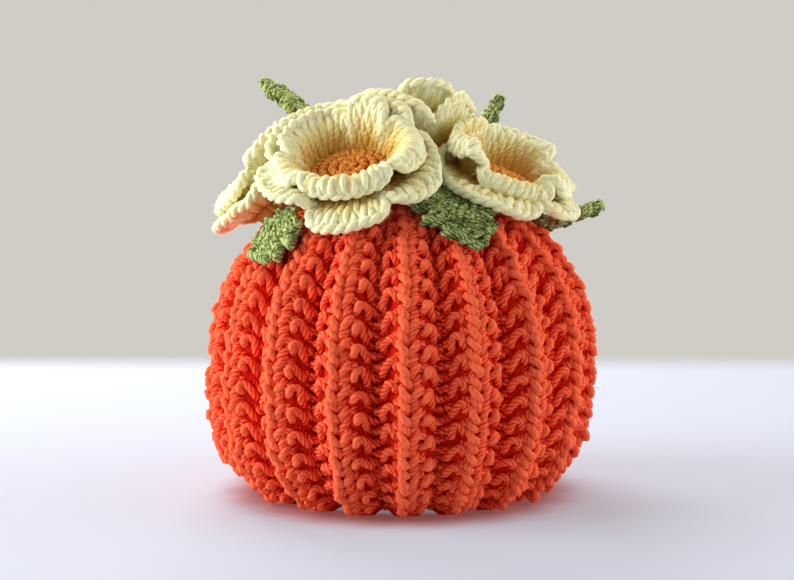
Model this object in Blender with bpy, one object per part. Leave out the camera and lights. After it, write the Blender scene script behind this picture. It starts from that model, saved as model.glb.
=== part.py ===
"""Knitted tea cosy with crocheted flowers and leaves, as closed solids at real size.

Two knitted panels, nine ribs each, are sewn together above and below a spout slit and a
handle slit, and drawn in at the crown. Four crocheted flowers (a centre, an inner and an
outer round of petals each) and five serrated leaves are sewn over the crown. The cosy is
shown as it hangs over a round pot, standing on the ridges of its hem.

Metres, +Z up, origin on the ground under the cosy's axis. Turns are degrees around that
axis: 0 is the front (-Y), 90 is the handle side (+X), -90 is the spout side (-X).
"""

import math
from typing import NamedTuple

import bmesh
import bpy
import numpy as np
from mathutils import Vector

# Knitted wall.
WALL = 0.004
RIB_COUNT = 18
RIB_RISE = 0.0029
RIB_RISE_PER_RADIUS = 0.045
RIB_ROUNDNESS = 0.18
FIRST_RIDGE = 2.0
COLUMNS_PER_RIB = 4
WALL_ROWS = 15
ROW_CROWDING = 0.075
HEM_LIFT = 0.0024
HEM_LIFT_FADE = 0.10
SEAM_GAP = 0.0003
SEAM_TURNS = {"spout": -88.0, "handle": 92.0}
SLIT_SPREAD = 34.0
BELLY_SAG = 0.0022
BELLY_SAG_TURN = -80.0
BELLY_SAG_HEIGHT = 0.030
BELLY_SAG_SPAN = 0.022

# Crocheted pieces.
PETAL_SHEET = 0.0030
LEAF_SHEET = 0.0030
CENTRE_RADIUS = 0.0142
CENTRE_THICKNESS = 0.0052
CENTRE_DOME = 0.0012
SEAT_GAP = 0.0003
OUTER_START_ANGLE = 20.0
INNER_START_ANGLE = 78.0
BASE_HOLE_RADIUS = 0.0040
CLEAR_OF_BODY = 0.0058
CLEAR_OF_NEIGHBOUR = 0.0019
INNER_ROUND_EXTRA_CLEAR = 0.0042
PRESS_SOFTNESS = 0.0040
PRESS_TURN_UP = 0.70
NOTCH_REACH = 0.42
PETAL_SQUARENESS = 4.5
COLUMN_SHARES = (-0.84, -0.45, 0.0, 0.45, 0.84, 1.0)
PETAL_ROWS = (0.0, 0.30, 0.58, 0.82, 1.0)


class Section(NamedTuple):
    """One level of the wall's middle line."""

    height: float
    radius: float


PROFILE = (
    Section(0.0000, 0.0532),
    Section(0.0020, 0.0556),
    Section(0.0047, 0.0606),
    Section(0.0090, 0.0645),
    Section(0.0160, 0.0697),
    Section(0.0255, 0.0742),
    Section(0.0380, 0.0768),
    Section(0.0500, 0.0782),
    Section(0.0620, 0.0780),
    Section(0.0720, 0.0768),
    Section(0.0810, 0.0747),
    Section(0.0890, 0.0712),
    Section(0.0970, 0.0662),
    Section(0.1050, 0.0600),
    Section(0.1130, 0.0518),
    Section(0.1190, 0.0420),
    Section(0.1240, 0.0310),
    Section(0.1275, 0.0215),
    Section(0.1320, 0.0140),
    Section(0.1365, 0.0095),
    Section(0.1390, 0.0055),
)


class Slit(NamedTuple):
    """An opening left in a seam: its lowest and highest point and its widest half."""

    seam: str
    low: float
    high: float
    half_width: float


SLITS = (
    Slit("spout", 0.031, 0.090, 0.0105),
    Slit("handle", 0.031, 0.111, 0.0075),
)


class Petal(NamedTuple):
    """One petal: degrees of its round, length from the base, rise angle, rim's turn-out."""

    width: float
    length: float
    lean: float
    roll: float


class Flower(NamedTuple):
    """A flower: seat on the body, tilt of its axis, first petals' turn, and its petals."""

    name: str
    seat_turn: float
    seat_radius: float
    standoff: float
    tilt: float
    tilt_turn: float
    scale: float
    inner_start: float
    inner: tuple
    outer_start: float
    outer: tuple


FLOWERS = (
    Flower(
        "front", -40.0, 0.0305, 0.0022, 29.0, -18.0, 1.0,
        -48.0,
        (
            Petal(88.0, 0.0255, 64.0, 125.0),
            Petal(85.0, 0.0225, 50.0, 40.0),
            Petal(44.0, 0.0250, 66.0, 30.0),
            Petal(92.0, 0.0225, 60.0, 50.0),
            Petal(51.0, 0.0240, 44.0, 50.0),
        ),
        -35.0,
        (
            Petal(60.0, 0.0215, 6.0, 30.0),
            Petal(88.0, 0.0225, 26.0, 40.0),
            Petal(50.0, 0.0250, 48.0, 30.0),
            Petal(99.0, 0.0240, 58.0, 20.0),
            Petal(63.0, 0.0230, 20.0, 40.0),
        ),
    ),
    Flower(
        "right", 80.0, 0.0375, 0.0009, 20.0, 67.0, 0.94,
        -64.0,
        (
            Petal(118.0, 0.0215, 54.0, 85.0),
            Petal(72.0, 0.0220, 70.0, 30.0),
            Petal(80.0, 0.0230, 62.0, 20.0),
            Petal(90.0, 0.0260, 56.0, 30.0),
        ),
        -58.0,
        (
            Petal(96.0, 0.0205, 0.0, 40.0),
            Petal(66.0, 0.0205, 24.0, 40.0),
            Petal(66.0, 0.0220, 42.0, 20.0),
            Petal(66.0, 0.0260, 48.0, 0.0),
            Petal(66.0, 0.0220, 36.0, 20.0),
        ),
    ),
    Flower(
        "left", -104.0, 0.0440, 0.0010, 36.0, -99.0, 0.93,
        -20.0,
        (
            Petal(72.0, 0.0240, 60.0, 50.0),
            Petal(72.0, 0.0205, 70.0, 30.0),
            Petal(72.0, 0.0250, 66.0, 40.0),
            Petal(72.0, 0.0240, 54.0, 50.0),
            Petal(72.0, 0.0240, 48.0, 60.0),
        ),
        16.0,
        (
            Petal(72.0, 0.0210, 40.0, 30.0),
            Petal(72.0, 0.0230, 48.0, 20.0),
            Petal(72.0, 0.0220, 38.0, 20.0),
            Petal(72.0, 0.0215, 28.0, 30.0),
            Petal(72.0, 0.0215, 26.0, 40.0),
        ),
    ),
    Flower(
        "back", 172.0, 0.0075, 0.0011, 12.0, 175.0, 0.93,
        -10.0,
        (
            Petal(72.0, 0.0250, 70.0, 20.0),
            Petal(72.0, 0.0240, 70.0, 40.0),
            Petal(72.0, 0.0240, 60.0, 60.0),
            Petal(72.0, 0.0240, 58.0, 70.0),
            Petal(72.0, 0.0240, 66.0, 40.0),
        ),
        26.0,
        (
            Petal(72.0, 0.0215, 44.0, 10.0),
            Petal(72.0, 0.0230, 40.0, 40.0),
            Petal(72.0, 0.0220, 28.0, 50.0),
            Petal(72.0, 0.0230, 36.0, 40.0),
            Petal(72.0, 0.0215, 42.0, 10.0),
        ),
    ),
)


class Leaf(NamedTuple):
    """A leaf: foot and tip in space, the way its face looks, sizes and lengthwise bow."""

    name: str
    foot: tuple
    tip: tuple
    face: tuple
    half_width: float
    bow: float


LEAVES = (
    Leaf(
        "front_left", (-0.0405, -0.0390, 0.1160), (-0.0560, -0.0330, 0.0985),
        (-0.6, -0.5, 0.6), 0.0135, 0.0,
    ),
    Leaf(
        "front_right", (0.0110, -0.0350, 0.1230), (0.0285, -0.0530, 0.1030),
        (0.2, -0.6, 0.75), 0.0165, 0.0,
    ),
    Leaf(
        "upper_left", (-0.0330, 0.0080, 0.1525), (-0.0586, 0.0120, 0.1720),
        (0.65, 0.0, 0.76), 0.0085, 0.001,
    ),
    Leaf(
        "right", (0.0470, 0.0098, 0.1090), (0.0808, 0.0033, 0.1181),
        (-0.1, 0.0, 1.0), 0.0125, -0.002,
    ),
    Leaf(
        "back_right", (0.0297, 0.0376, 0.1125), (0.0430, 0.0500, 0.1640),
        (-0.6, 0.3, 0.6), 0.0125, 0.002,
    ),
)
LEAF_STATIONS = 9
LEAF_ACROSS = (-1.0, -0.5, 0.0, 0.5, 1.0)
LEAF_TEETH = 4
LEAF_TOOTH_DEPTH = 0.40
LEAF_FOOT_SHARE = 0.07
LEAF_TIP_WIDTH = 0.14
LEAF_CUP = 0.10
LEAF_CLEAR_OF_BODY = 0.0014
LEAF_SOFTNESS = 0.0016


class Finish(NamedTuple):
    """Colour, roughness and name of one yarn."""

    name: str
    colour: tuple
    roughness: float


ORANGE_YARN = Finish("orange_wool", (0.83, 0.12, 0.045, 1.0), 0.92)
CREAM_YARN = Finish("cream_wool", (0.80, 0.76, 0.50, 1.0), 0.90)
MUSTARD_YARN = Finish("mustard_wool", (0.72, 0.28, 0.05, 1.0), 0.90)
GREEN_YARN = Finish("sage_wool", (0.33, 0.45, 0.16, 1.0), 0.92)


def clear_scene():
    """Remove every object that a new file starts with."""
    for item in list(bpy.data.objects):
        bpy.data.objects.remove(item, do_unlink=True)


def make_material(finish):
    """Return the Principled material of one yarn."""
    material = bpy.data.materials.get(finish.name) or bpy.data.materials.new(finish.name)
    material.use_nodes = True
    shader = material.node_tree.nodes["Principled BSDF"]
    shader.inputs["Base Color"].default_value = finish.colour
    shader.inputs["Roughness"].default_value = finish.roughness
    shader.inputs["Metallic"].default_value = 0.0
    material.diffuse_color = finish.colour
    return material


def add_object(name, points, faces, finish):
    """Add one named mesh object with outward faces and smooth shading."""
    mesh = bpy.data.meshes.new(name)
    mesh.from_pydata([tuple(point) for point in points], [], faces)
    mesh.validate()
    shape = bmesh.new()
    shape.from_mesh(mesh)
    bmesh.ops.recalc_face_normals(shape, faces=shape.faces)
    shape.to_mesh(mesh)
    shape.free()
    mesh.shade_smooth()
    mesh.materials.append(make_material(finish))
    item = bpy.data.objects.new(name, mesh)
    bpy.context.collection.objects.link(item)
    return item


def thicken(item, thickness):
    """Give a one-layer sheet its thickness, half to each side."""
    solid = item.modifiers.new("thickness", "SOLIDIFY")
    solid.thickness = thickness
    solid.offset = 0.0


# ---------------------------------------------------------------- knitted wall


def smooth_profile(steps_per_section=24):
    """Return radii, heights and running length of a smooth curve through PROFILE."""
    knots = np.array([(row.radius, row.height) for row in PROFILE])
    before = np.vstack([2 * knots[0] - knots[1], knots[:-1]])
    after = np.vstack([knots[1:], 2 * knots[-1] - knots[-2]])
    slopes = (after - before) / 2
    share = np.linspace(0.0, 1.0, steps_per_section, endpoint=False)[:, None]
    pieces = []
    for start, end, slope_in, slope_out in zip(knots[:-1], knots[1:], slopes[:-1], slopes[1:]):
        square = share * share
        cube = square * share
        pieces.append(
            (2 * cube - 3 * square + 1) * start
            + (cube - 2 * square + share) * slope_in
            + (3 * square - 2 * cube) * end
            + (cube - square) * slope_out
        )
    curve = np.vstack(pieces + [knots[-1:]])
    length = np.concatenate([[0.0], np.cumsum(np.linalg.norm(np.diff(curve, axis=0), axis=1))])
    return curve, length


CURVE, CURVE_LENGTH = smooth_profile()
TANGENT = np.gradient(CURVE, CURVE_LENGTH, axis=0)
TANGENT /= np.linalg.norm(TANGENT, axis=1)[:, None]
NORMAL = np.stack([TANGENT[:, 1], -TANGENT[:, 0]], axis=1)


def profile_at(climb):
    """Return radius, height and outward normal at a share of the way from hem to crown."""
    along = climb * CURVE_LENGTH[-1]
    radius, height = (np.interp(along, CURVE_LENGTH, CURVE[:, axis]) for axis in (0, 1))
    out, up = (np.interp(along, CURVE_LENGTH, NORMAL[:, axis]) for axis in (0, 1))
    size = math.hypot(out, up)
    return radius, height, out / size, up / size


def rib_relief(turn, radius):
    """Return how far the ribs lift the wall at a turn: out on a ridge, in in a valley."""
    rise = min(RIB_RISE, RIB_RISE_PER_RADIUS * radius)
    wave = math.radians(RIB_COUNT * (turn - FIRST_RIDGE))
    return rise * (math.cos(wave) - RIB_ROUNDNESS * math.cos(2 * wave))


def belly_sag(turn, height):
    """Return the extra fullness low on the spout side."""
    sideways = max(0.0, math.cos(math.radians(turn - BELLY_SAG_TURN)))
    return BELLY_SAG * sideways * math.exp(-(((height - BELLY_SAG_HEIGHT) / BELLY_SAG_SPAN) ** 2))


def slit_half_width(seam, height):
    """Return half the distance between the two panels' edges at a seam."""
    half = SEAM_GAP / 2
    for slit in SLITS:
        share = (height - slit.low) / (slit.high - slit.low)
        if slit.seam == seam and 0.0 < share < 1.0:
            half += slit.half_width * math.sqrt(math.sin(math.pi * share))
    return half


def spread_from_seam(turn, start, end, height, radius):
    """Return a column's turn, moved aside where a slit opens at its panel's edges."""
    for seam_turn, toward in ((start, 1.0), (end, -1.0)):
        seam = "spout" if math.cos(math.radians(seam_turn - SEAM_TURNS["spout"])) > 0.9 else "handle"
        away = abs(turn - seam_turn) / SLIT_SPREAD
        if away < 1.0:
            shift = math.degrees(math.asin(slit_half_width(seam, height) / radius))
            turn += toward * shift * (1.0 - away) ** 2
    return turn


def wall_point(turn, start, end, climb, depth):
    """Return a point of the wall, at a depth below its outer face."""
    radius, height, out, up = profile_at(climb)
    relief = rib_relief(turn, radius) + belly_sag(turn, height) - depth
    placed = math.radians(spread_from_seam(turn, start, end, height, radius))
    off_ridge = 0.5 - 0.5 * math.cos(math.radians(RIB_COUNT * (turn - FIRST_RIDGE)))
    lift = HEM_LIFT * max(0.0, 2.0 * off_ridge - 1.0) * max(0.0, 1.0 - climb / HEM_LIFT_FADE)
    reach = radius + out * relief
    level = height + up * relief if climb > 0.0 else 0.0
    return (reach * math.sin(placed), -reach * math.cos(placed), level + lift)


def build_panel(name, start, end):
    """Build one knitted panel between two seams as a closed corrugated shell."""
    columns = round((end - start) / 360.0 * RIB_COUNT * COLUMNS_PER_RIB)
    shares = [row / WALL_ROWS for row in range(WALL_ROWS + 1)]
    climbs = [share - ROW_CROWDING * math.sin(2 * math.pi * share) for share in shares]
    turns = [start + (end - start) * column / columns for column in range(columns + 1)]
    points = [
        wall_point(turn, start, end, climb, depth)
        for depth in (0.0, WALL)
        for climb in climbs
        for turn in turns
    ]
    width = columns + 1
    layer = width * (WALL_ROWS + 1)
    faces = []
    for row in range(WALL_ROWS):
        for column in range(columns):
            corner = row * width + column
            outer = (corner, corner + 1, corner + width + 1, corner + width)
            faces.append(outer)
            faces.append(tuple(layer + index for index in reversed(outer)))
    for row in range(WALL_ROWS):
        for column in (0, columns):
            low = row * width + column
            faces.append((low, low + width, low + width + layer, low + layer))
    for column in range(columns):
        for row in (0, WALL_ROWS):
            left = row * width + column
            faces.append((left, left + 1, left + 1 + layer, left + layer))
    add_object(name, points, faces, ORANGE_YARN)


# ---------------------------------------------------------------- crocheted pieces


def eased(distance, clearance, softness):
    """Return distances that level off at a clearance instead of passing below it."""
    start = clearance + softness
    pressed = clearance + softness * np.exp(np.minimum(0.0, distance - start) / softness)
    return np.where(distance >= start, distance, pressed)


def lay_on_body(points, clearance, softness):
    """Push points out of the ribbed body until they clear its ridges."""
    reach = np.hypot(points[:, 0], points[:, 1])
    flat = np.stack([reach, points[:, 2]], axis=1)
    ridge = CURVE + NORMAL * np.minimum(RIB_RISE, RIB_RISE_PER_RADIUS * CURVE[:, :1])
    gaps = np.linalg.norm(flat[:, None, :] - ridge[None, :, :], axis=2)
    nearest = gaps.argmin(axis=1)
    normal = NORMAL[nearest]
    signed = np.einsum("ij,ij->i", flat - ridge[nearest], normal)
    push = (eased(signed, clearance, softness) - signed)[:, None] * normal
    outward = points[:, :2] / np.maximum(reach, 1e-6)[:, None]
    return points + np.column_stack([outward * push[:, :1], push[:, 1]])


def flower_frame(flower):
    """Return a flower's seat, axis, forward and rightward directions."""
    turn = math.radians(flower.seat_turn)
    ridge = CURVE + NORMAL * np.minimum(RIB_RISE, RIB_RISE_PER_RADIUS * CURVE[:, :1])
    upper = CURVE[:, 1] > 0.5 * PROFILE[-1].height
    level = np.interp(-flower.seat_radius, -ridge[upper, 0], ridge[upper, 1])
    seat = Vector((flower.seat_radius * math.sin(turn), -flower.seat_radius * math.cos(turn), level))
    tilt = math.radians(flower.tilt)
    toward = math.radians(flower.tilt_turn)
    axis = Vector((math.sin(tilt) * math.sin(toward), -math.sin(tilt) * math.cos(toward), math.cos(tilt)))
    forward = Vector((0.0, -1.0, 0.0))
    forward = (forward - axis * forward.dot(axis)).normalized()
    return seat + axis * flower.standoff, axis, forward, axis.cross(forward)


def press_planes(flower):
    """Return the planes at which a flower meets its neighbours' petals."""
    seat, axis = flower_frame(flower)[:2]
    own = seat + axis * 0.012
    planes = []
    for other in FLOWERS:
        if other.name != flower.name:
            seat, axis = flower_frame(other)[:2]
            neighbour = seat + axis * 0.012
            share = other.scale / (flower.scale + other.scale)
            planes.append((neighbour + (own - neighbour) * share, (own - neighbour).normalized()))
    return planes


def press_apart(points, flower, clearance):
    """Fold petals up where they meet the planes between neighbouring flowers."""
    for spot, normal in press_planes(flower):
        direction = np.array(normal)
        distance = (points - np.array(spot)) @ direction
        push = eased(distance, clearance, PRESS_SOFTNESS) - distance
        upward = np.array((0.0, 0.0, 1.0)) - direction * direction[2]
        points = points + push[:, None] * (direction + PRESS_TURN_UP * upward)
    return points


def smoothstep(value):
    """Return a value eased from 0 to 1."""
    value = min(1.0, max(0.0, value))
    return value * value * (3.0 - 2.0 * value)


def petal_path(petal, share, start_angle, steps=16):
    """Return distance out and height at a share of a petal's length, rim rolled out."""
    out = 0.0
    rise = 0.0
    step = petal.length * share / steps
    for index in range(steps):
        spot = share * (index + 0.5) / steps
        angle = start_angle + (petal.lean - start_angle) * smoothstep(spot / 0.35)
        angle -= petal.roll * smoothstep((spot - 0.55) / 0.45)
        out += step * math.cos(math.radians(angle))
        rise += step * math.sin(math.radians(angle))
    return out, rise


def petal_round_points(
    flower, petals, start_turn, base_radius, base_height, start_angle, hole_radius=None
):
    """Return the mid-sheet points of one round of petals, column by column."""
    seat, axis, forward, rightward = flower_frame(flower)
    points = []
    turn = start_turn
    for place, petal in enumerate(petals):
        following = petals[(place + 1) % len(petals)]
        for across in COLUMN_SHARES:
            azimuth = math.radians(turn + petal.width * (across + 1.0) / 2.0)
            spoke = forward * math.cos(azimuth) + rightward * math.sin(azimuth)
            lobe = (1.0 - abs(across) ** PETAL_SQUARENESS) ** 0.5
            reach = NOTCH_REACH + (1.0 - NOTCH_REACH) * lobe
            blend = 0.5 * smoothstep((across - 0.8) / 0.2)
            shape = Petal(
                petal.width,
                petal.length + (following.length - petal.length) * blend,
                petal.lean + (following.lean - petal.lean) * blend,
                petal.roll,
            )
            if hole_radius is not None:
                points.append(seat + spoke * hole_radius + axis * base_height)
            for row in PETAL_ROWS:
                out, rise = petal_path(shape, row * reach, start_angle)
                place_out = base_radius + out * flower.scale
                place_up = base_height + rise * flower.scale
                points.append(seat + spoke * place_out + axis * place_up)
        turn += petal.width
    return np.array([tuple(point) for point in points])


def build_round(name, flower, points, fixed_rows, clear_body, clear_neighbour):
    """Close one round of petals into a ring-shaped sheet and thicken it."""
    rows = len(PETAL_ROWS) + fixed_rows - 1
    columns = len(points) // rows
    movable = np.tile(np.arange(rows) >= fixed_rows, columns)
    pressed = press_apart(points, flower, clear_neighbour)
    pressed = lay_on_body(pressed, clear_body, PRESS_SOFTNESS / 2)
    points = np.where(movable[:, None], pressed, points)
    faces = []
    for column in range(columns):
        following = (column + 1) % columns
        for row in range(rows - 1):
            near = column * rows + row
            far = following * rows + row
            faces.append((near, far, far + 1, near + 1))
    item = add_object(name, points, faces, CREAM_YARN)
    thicken(item, PETAL_SHEET)


def build_centre(name, flower, bottom):
    """Build the flower's domed crochet centre as a turned disc."""
    seat, axis, forward, rightward = flower_frame(flower)
    sides = 20
    top = bottom + CENTRE_THICKNESS
    round_radius = CENTRE_RADIUS * flower.scale
    rings = (
        (round_radius * 0.90, bottom),
        (round_radius, bottom + CENTRE_THICKNESS * 0.30),
        (round_radius * 0.97, top - CENTRE_THICKNESS * 0.16),
        (round_radius * 0.62, top + CENTRE_DOME * 0.7),
    )
    points = []
    for radius, height in rings:
        for side in range(sides):
            azimuth = 2 * math.pi * side / sides
            spoke = forward * math.cos(azimuth) + rightward * math.sin(azimuth)
            points.append(seat + spoke * radius + axis * height)
    faces = []
    for ring in range(len(rings) - 1):
        for side in range(sides):
            following = (side + 1) % sides
            low = ring * sides
            faces.append((low + side, low + following, low + sides + following, low + sides + side))
    crest = len(points)
    points.append(seat + axis * (top + CENTRE_DOME))
    points.append(seat + axis * bottom)
    last = (len(rings) - 1) * sides
    for side in range(sides):
        following = (side + 1) % sides
        faces.append((last + side, last + following, crest))
        faces.append((following, side, crest + 1))
    add_object(name, points, faces, MUSTARD_YARN)


def build_flower(flower):
    """Build one flower: outer round on the body, then centre and inner round on it."""
    half = PETAL_SHEET / 2
    plate_top = half + half
    inner_base = CENTRE_RADIUS * flower.scale + SEAT_GAP + half
    outer = petal_round_points(
        flower,
        flower.outer,
        flower.outer_start,
        inner_base + half,
        half,
        OUTER_START_ANGLE,
        BASE_HOLE_RADIUS,
    )
    outer_name = f"flower_{flower.name}_outer_petals"
    build_round(outer_name, flower, outer, 2, CLEAR_OF_BODY, CLEAR_OF_NEIGHBOUR)
    build_centre(f"flower_{flower.name}_centre", flower, plate_top + SEAT_GAP)
    inner = petal_round_points(
        flower,
        flower.inner,
        flower.inner_start,
        inner_base,
        plate_top + SEAT_GAP + half,
        INNER_START_ANGLE,
    )
    clear = CLEAR_OF_NEIGHBOUR + INNER_ROUND_EXTRA_CLEAR
    clear_body = CLEAR_OF_BODY + INNER_ROUND_EXTRA_CLEAR
    build_round(f"flower_{flower.name}_inner_petals", flower, inner, 1, clear_body, clear)


def leaf_half_width(share):
    """Return a leaf's serrated half width at a share of its length, as a share of the widest."""
    body = math.sin(math.pi * (LEAF_FOOT_SHARE + (1.0 - LEAF_FOOT_SHARE) * share)) ** 0.7
    tooth = (share * LEAF_TEETH) % 1.0
    return max(LEAF_TIP_WIDTH, body) * (1.0 - LEAF_TOOTH_DEPTH * tooth)


def build_leaf(leaf):
    """Build one serrated leaf as a cupped sheet, laid over the body where it meets it."""
    foot = Vector(leaf.foot)
    along = Vector(leaf.tip) - foot
    face = Vector(leaf.face)
    face = (face - along.normalized() * face.dot(along.normalized())).normalized()
    side = along.normalized().cross(face)
    points = []
    for station in range(LEAF_STATIONS):
        share = station / (LEAF_STATIONS - 1)
        half = leaf.half_width * leaf_half_width(share)
        bow = leaf.bow * math.sin(math.pi * share)
        for across in LEAF_ACROSS:
            cup = LEAF_CUP * leaf.half_width * across * across
            points.append(foot + along * share + side * (half * across) + face * (bow + cup))
    points = lay_on_body(np.array([tuple(point) for point in points]), LEAF_CLEAR_OF_BODY, LEAF_SOFTNESS)
    width = len(LEAF_ACROSS)
    faces = []
    for station in range(LEAF_STATIONS - 1):
        for column in range(width - 1):
            corner = station * width + column
            faces.append((corner, corner + 1, corner + width + 1, corner + width))
    item = add_object(f"leaf_{leaf.name}", points, faces, GREEN_YARN)
    thicken(item, LEAF_SHEET)


def main():
    """Build the whole cosy."""
    clear_scene()
    build_panel("front_panel", SEAM_TURNS["spout"], SEAM_TURNS["handle"])
    build_panel("back_panel", SEAM_TURNS["handle"], SEAM_TURNS["spout"] + 360.0)
    for flower in FLOWERS:
        build_flower(flower)
    for leaf in LEAVES:
        build_leaf(leaf)


main()
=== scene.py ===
"""Looks of a hand-knitted tea cosy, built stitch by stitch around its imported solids.

Two ribbed panels of heavy orange wool carry four crocheted cream flowers and five
serrated green leaves. Everything is in metres, +Z up, and the cosy's front is -Y. Turns
are degrees around the upright axis: 0 is the front, 90 is +X and -90 is -X.
"""

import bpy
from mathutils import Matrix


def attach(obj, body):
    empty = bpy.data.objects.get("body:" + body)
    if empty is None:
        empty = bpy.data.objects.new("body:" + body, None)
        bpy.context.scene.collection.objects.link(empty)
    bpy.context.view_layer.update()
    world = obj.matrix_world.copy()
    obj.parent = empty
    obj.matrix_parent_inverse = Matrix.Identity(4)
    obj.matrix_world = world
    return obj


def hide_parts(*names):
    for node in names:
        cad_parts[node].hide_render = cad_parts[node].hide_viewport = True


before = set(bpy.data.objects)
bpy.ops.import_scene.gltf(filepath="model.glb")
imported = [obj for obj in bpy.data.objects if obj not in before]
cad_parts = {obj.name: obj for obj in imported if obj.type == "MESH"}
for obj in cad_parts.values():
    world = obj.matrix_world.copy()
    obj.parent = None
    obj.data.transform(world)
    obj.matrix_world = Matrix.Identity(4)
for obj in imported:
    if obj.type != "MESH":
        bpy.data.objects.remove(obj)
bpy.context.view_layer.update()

import logging
import math
from dataclasses import asdict, dataclass
from enum import Enum
from typing import Any, Optional, Sequence, Union

import bpy
import numpy as np
from mathutils import Vector

LOG = logging.getLogger("tea_cosy")
BODY = "root"
WEAVE_UV = "weave"
TWIST = "twist"
PAINTED_LIGHT = "tone"
OUTWARD = "outward"
RISE = "rise"
FULL_TURN = 2 * math.pi
LEAST_CUT = 0.31
TINY_LENGTH = 1e-12
NEAR_AXIS = 1e-6
MIX_FACTOR, MIX_FIRST, MIX_SECOND, MIX_COLOUR = 0, 6, 7, 2


# ---------------------------------------------------------------- node trees


class Term:
    """A value in a node tree; arithmetic on it writes the node of the result."""

    def __init__(self, write: "TreeWriter", socket: bpy.types.NodeSocket) -> None:
        """Keep the value's socket and the writer of its tree.

        Args:
            write: the writer of its tree.
            socket: the output that gives the value.
        """
        self.write = write
        self.socket = socket
        self.is_vector = socket.type in {"VECTOR", "RGBA"}

    def __add__(self, other: "Value") -> "Term":
        """Return the sum."""
        return self.write.step("ADD", self, other)

    def __sub__(self, other: "Value") -> "Term":
        """Return the difference."""
        return self.write.step("SUBTRACT", self, other)

    def __rsub__(self, other: "Value") -> "Term":
        """Return a constant less this value."""
        return self.write.step("SUBTRACT", other, self)

    def __mul__(self, other: "Value") -> "Term":
        """Return the product."""
        return self.write.step("MULTIPLY", self, other)

    def __truediv__(self, other: "Value") -> "Term":
        """Return the quotient."""
        return self.write.step("DIVIDE", self, other)

    def sin(self) -> "Term":
        """Return the sine."""
        return self.write.step("SINE", self)

    def cos(self) -> "Term":
        """Return the cosine."""
        return self.write.step("COSINE", self)

    def rounded(self) -> "Term":
        """Return the nearest whole number."""
        return self.write.step("ROUND", self)


Value = Union[float, int, tuple, Term, bpy.types.NodeSocket]


class TreeWriter:
    """Writes the nodes of one tree and links them as they are named."""

    def __init__(self, tree: bpy.types.NodeTree) -> None:
        """Keep the tree to write in."""
        self.tree = tree

    def add(self, kind: str, inputs: Optional[dict] = None, **settings: Any) -> bpy.types.Node:
        """Add one node.

        Args:
            kind: Blender's name of the node type.
            inputs: socket name or place, and the value or socket that feeds it.
            settings: properties of the node itself.

        Returns:
            The node.
        """
        node = self.tree.nodes.new(kind)
        for name, setting in settings.items():
            setattr(node, name, setting)
        for name, value in (inputs or {}).items():
            self.feed(node.inputs[name], value)
        return node

    def out(self, kind: str, inputs: Optional[dict] = None, output: Union[int, str] = 0,
            **settings: Any) -> Term:
        """Add one node and return one of its outputs."""
        return Term(self, self.add(kind, inputs, **settings).outputs[output])

    def feed(self, socket: bpy.types.NodeSocket, value: Value) -> None:
        """Link a socket to a value of the tree, or give it a constant.

        Args:
            socket: the input to feed.
            value: a value of the tree, or a constant.
        """
        source = value.socket if isinstance(value, Term) else value
        if isinstance(source, bpy.types.NodeSocket):
            self.tree.links.new(source, socket)
        else:
            socket.default_value = source

    def step(self, operation: str, *values: Value) -> Term:
        """Return the result of one arithmetic step, which may scale a vector by a number.

        Args:
            operation: Blender's name of the step.
            values: what it works on.

        Returns:
            The result, a vector if one of the values is.
        """
        vectors = [isinstance(value, Term) and value.is_vector for value in values]
        if operation == "MULTIPLY" and vectors == [True, False]:
            inputs = {0: values[0], "Scale": values[1]}
            return self.out("ShaderNodeVectorMath", inputs, operation="SCALE")
        kind = "ShaderNodeVectorMath" if any(vectors) else "ShaderNodeMath"
        return self.out(kind, dict(enumerate(values)), operation=operation)

    def eased_step(self, value: Value, low: float, high: float) -> Term:
        """Return 0 below low, 1 above high and a smooth rise between them."""
        inputs = {"Value": value, "From Min": low, "From Max": high}
        return self.out("ShaderNodeMapRange", inputs, interpolation_type="SMOOTHSTEP")

    def noise(self, where: Value, scale: float, detail: float = 2.0) -> Term:
        """Return smooth noise between 0 and 1."""
        return self.out("ShaderNodeTexNoise", {"Vector": where, "Scale": scale, "Detail": detail})

    def blend(self, share: Value, first: Value, second: Value) -> Term:
        """Return the first colour at 0, the second at 1 and their mixture between."""
        inputs = {MIX_FACTOR: share, MIX_FIRST: first, MIX_SECOND: second}
        return self.out("ShaderNodeMix", inputs, MIX_COLOUR, data_type="RGBA")

    def vector(self, x: Value, y: Value, z: Value = 0.0) -> Term:
        """Return three numbers as one vector."""
        return self.out("ShaderNodeCombineXYZ", {0: x, 1: y, 2: z})

    def parts(self, vector: Term) -> list:
        """Return the three numbers of a vector."""
        return [Term(self, part) for part in self.add("ShaderNodeSeparateXYZ", {0: vector}).outputs]

    def position(self) -> Term:
        """Return where each point of a geometry lies."""
        return self.out("GeometryNodeInputPosition")

    def along_spline(self, measure: str) -> Term:
        """Return how far along its spline a point lies: its Factor or its Length."""
        return self.out("GeometryNodeSplineParameter", output=measure)

    def moved(self, geometry: Term, **target: Value) -> Term:
        """Return a geometry whose points are moved to a Position or by an Offset."""
        return self.out("GeometryNodeSetPosition", {"Geometry": geometry, **target})

    def keep(self, geometry: Term, value: Value) -> list:
        """Return a geometry and a value that stays with its points when they move.

        Args:
            geometry: the geometry.
            value: the number or vector at each point.

        Returns:
            The geometry and the kept value.
        """
        node = self.add("GeometryNodeCaptureAttribute", {"Geometry": geometry})
        is_vector = isinstance(value, Term) and value.is_vector
        node.capture_items.new("VECTOR" if is_vector else "FLOAT", "Kept")
        self.feed(node.inputs["Kept"], value)
        return [Term(self, node.outputs[name]) for name in ("Geometry", "Kept")]


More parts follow.
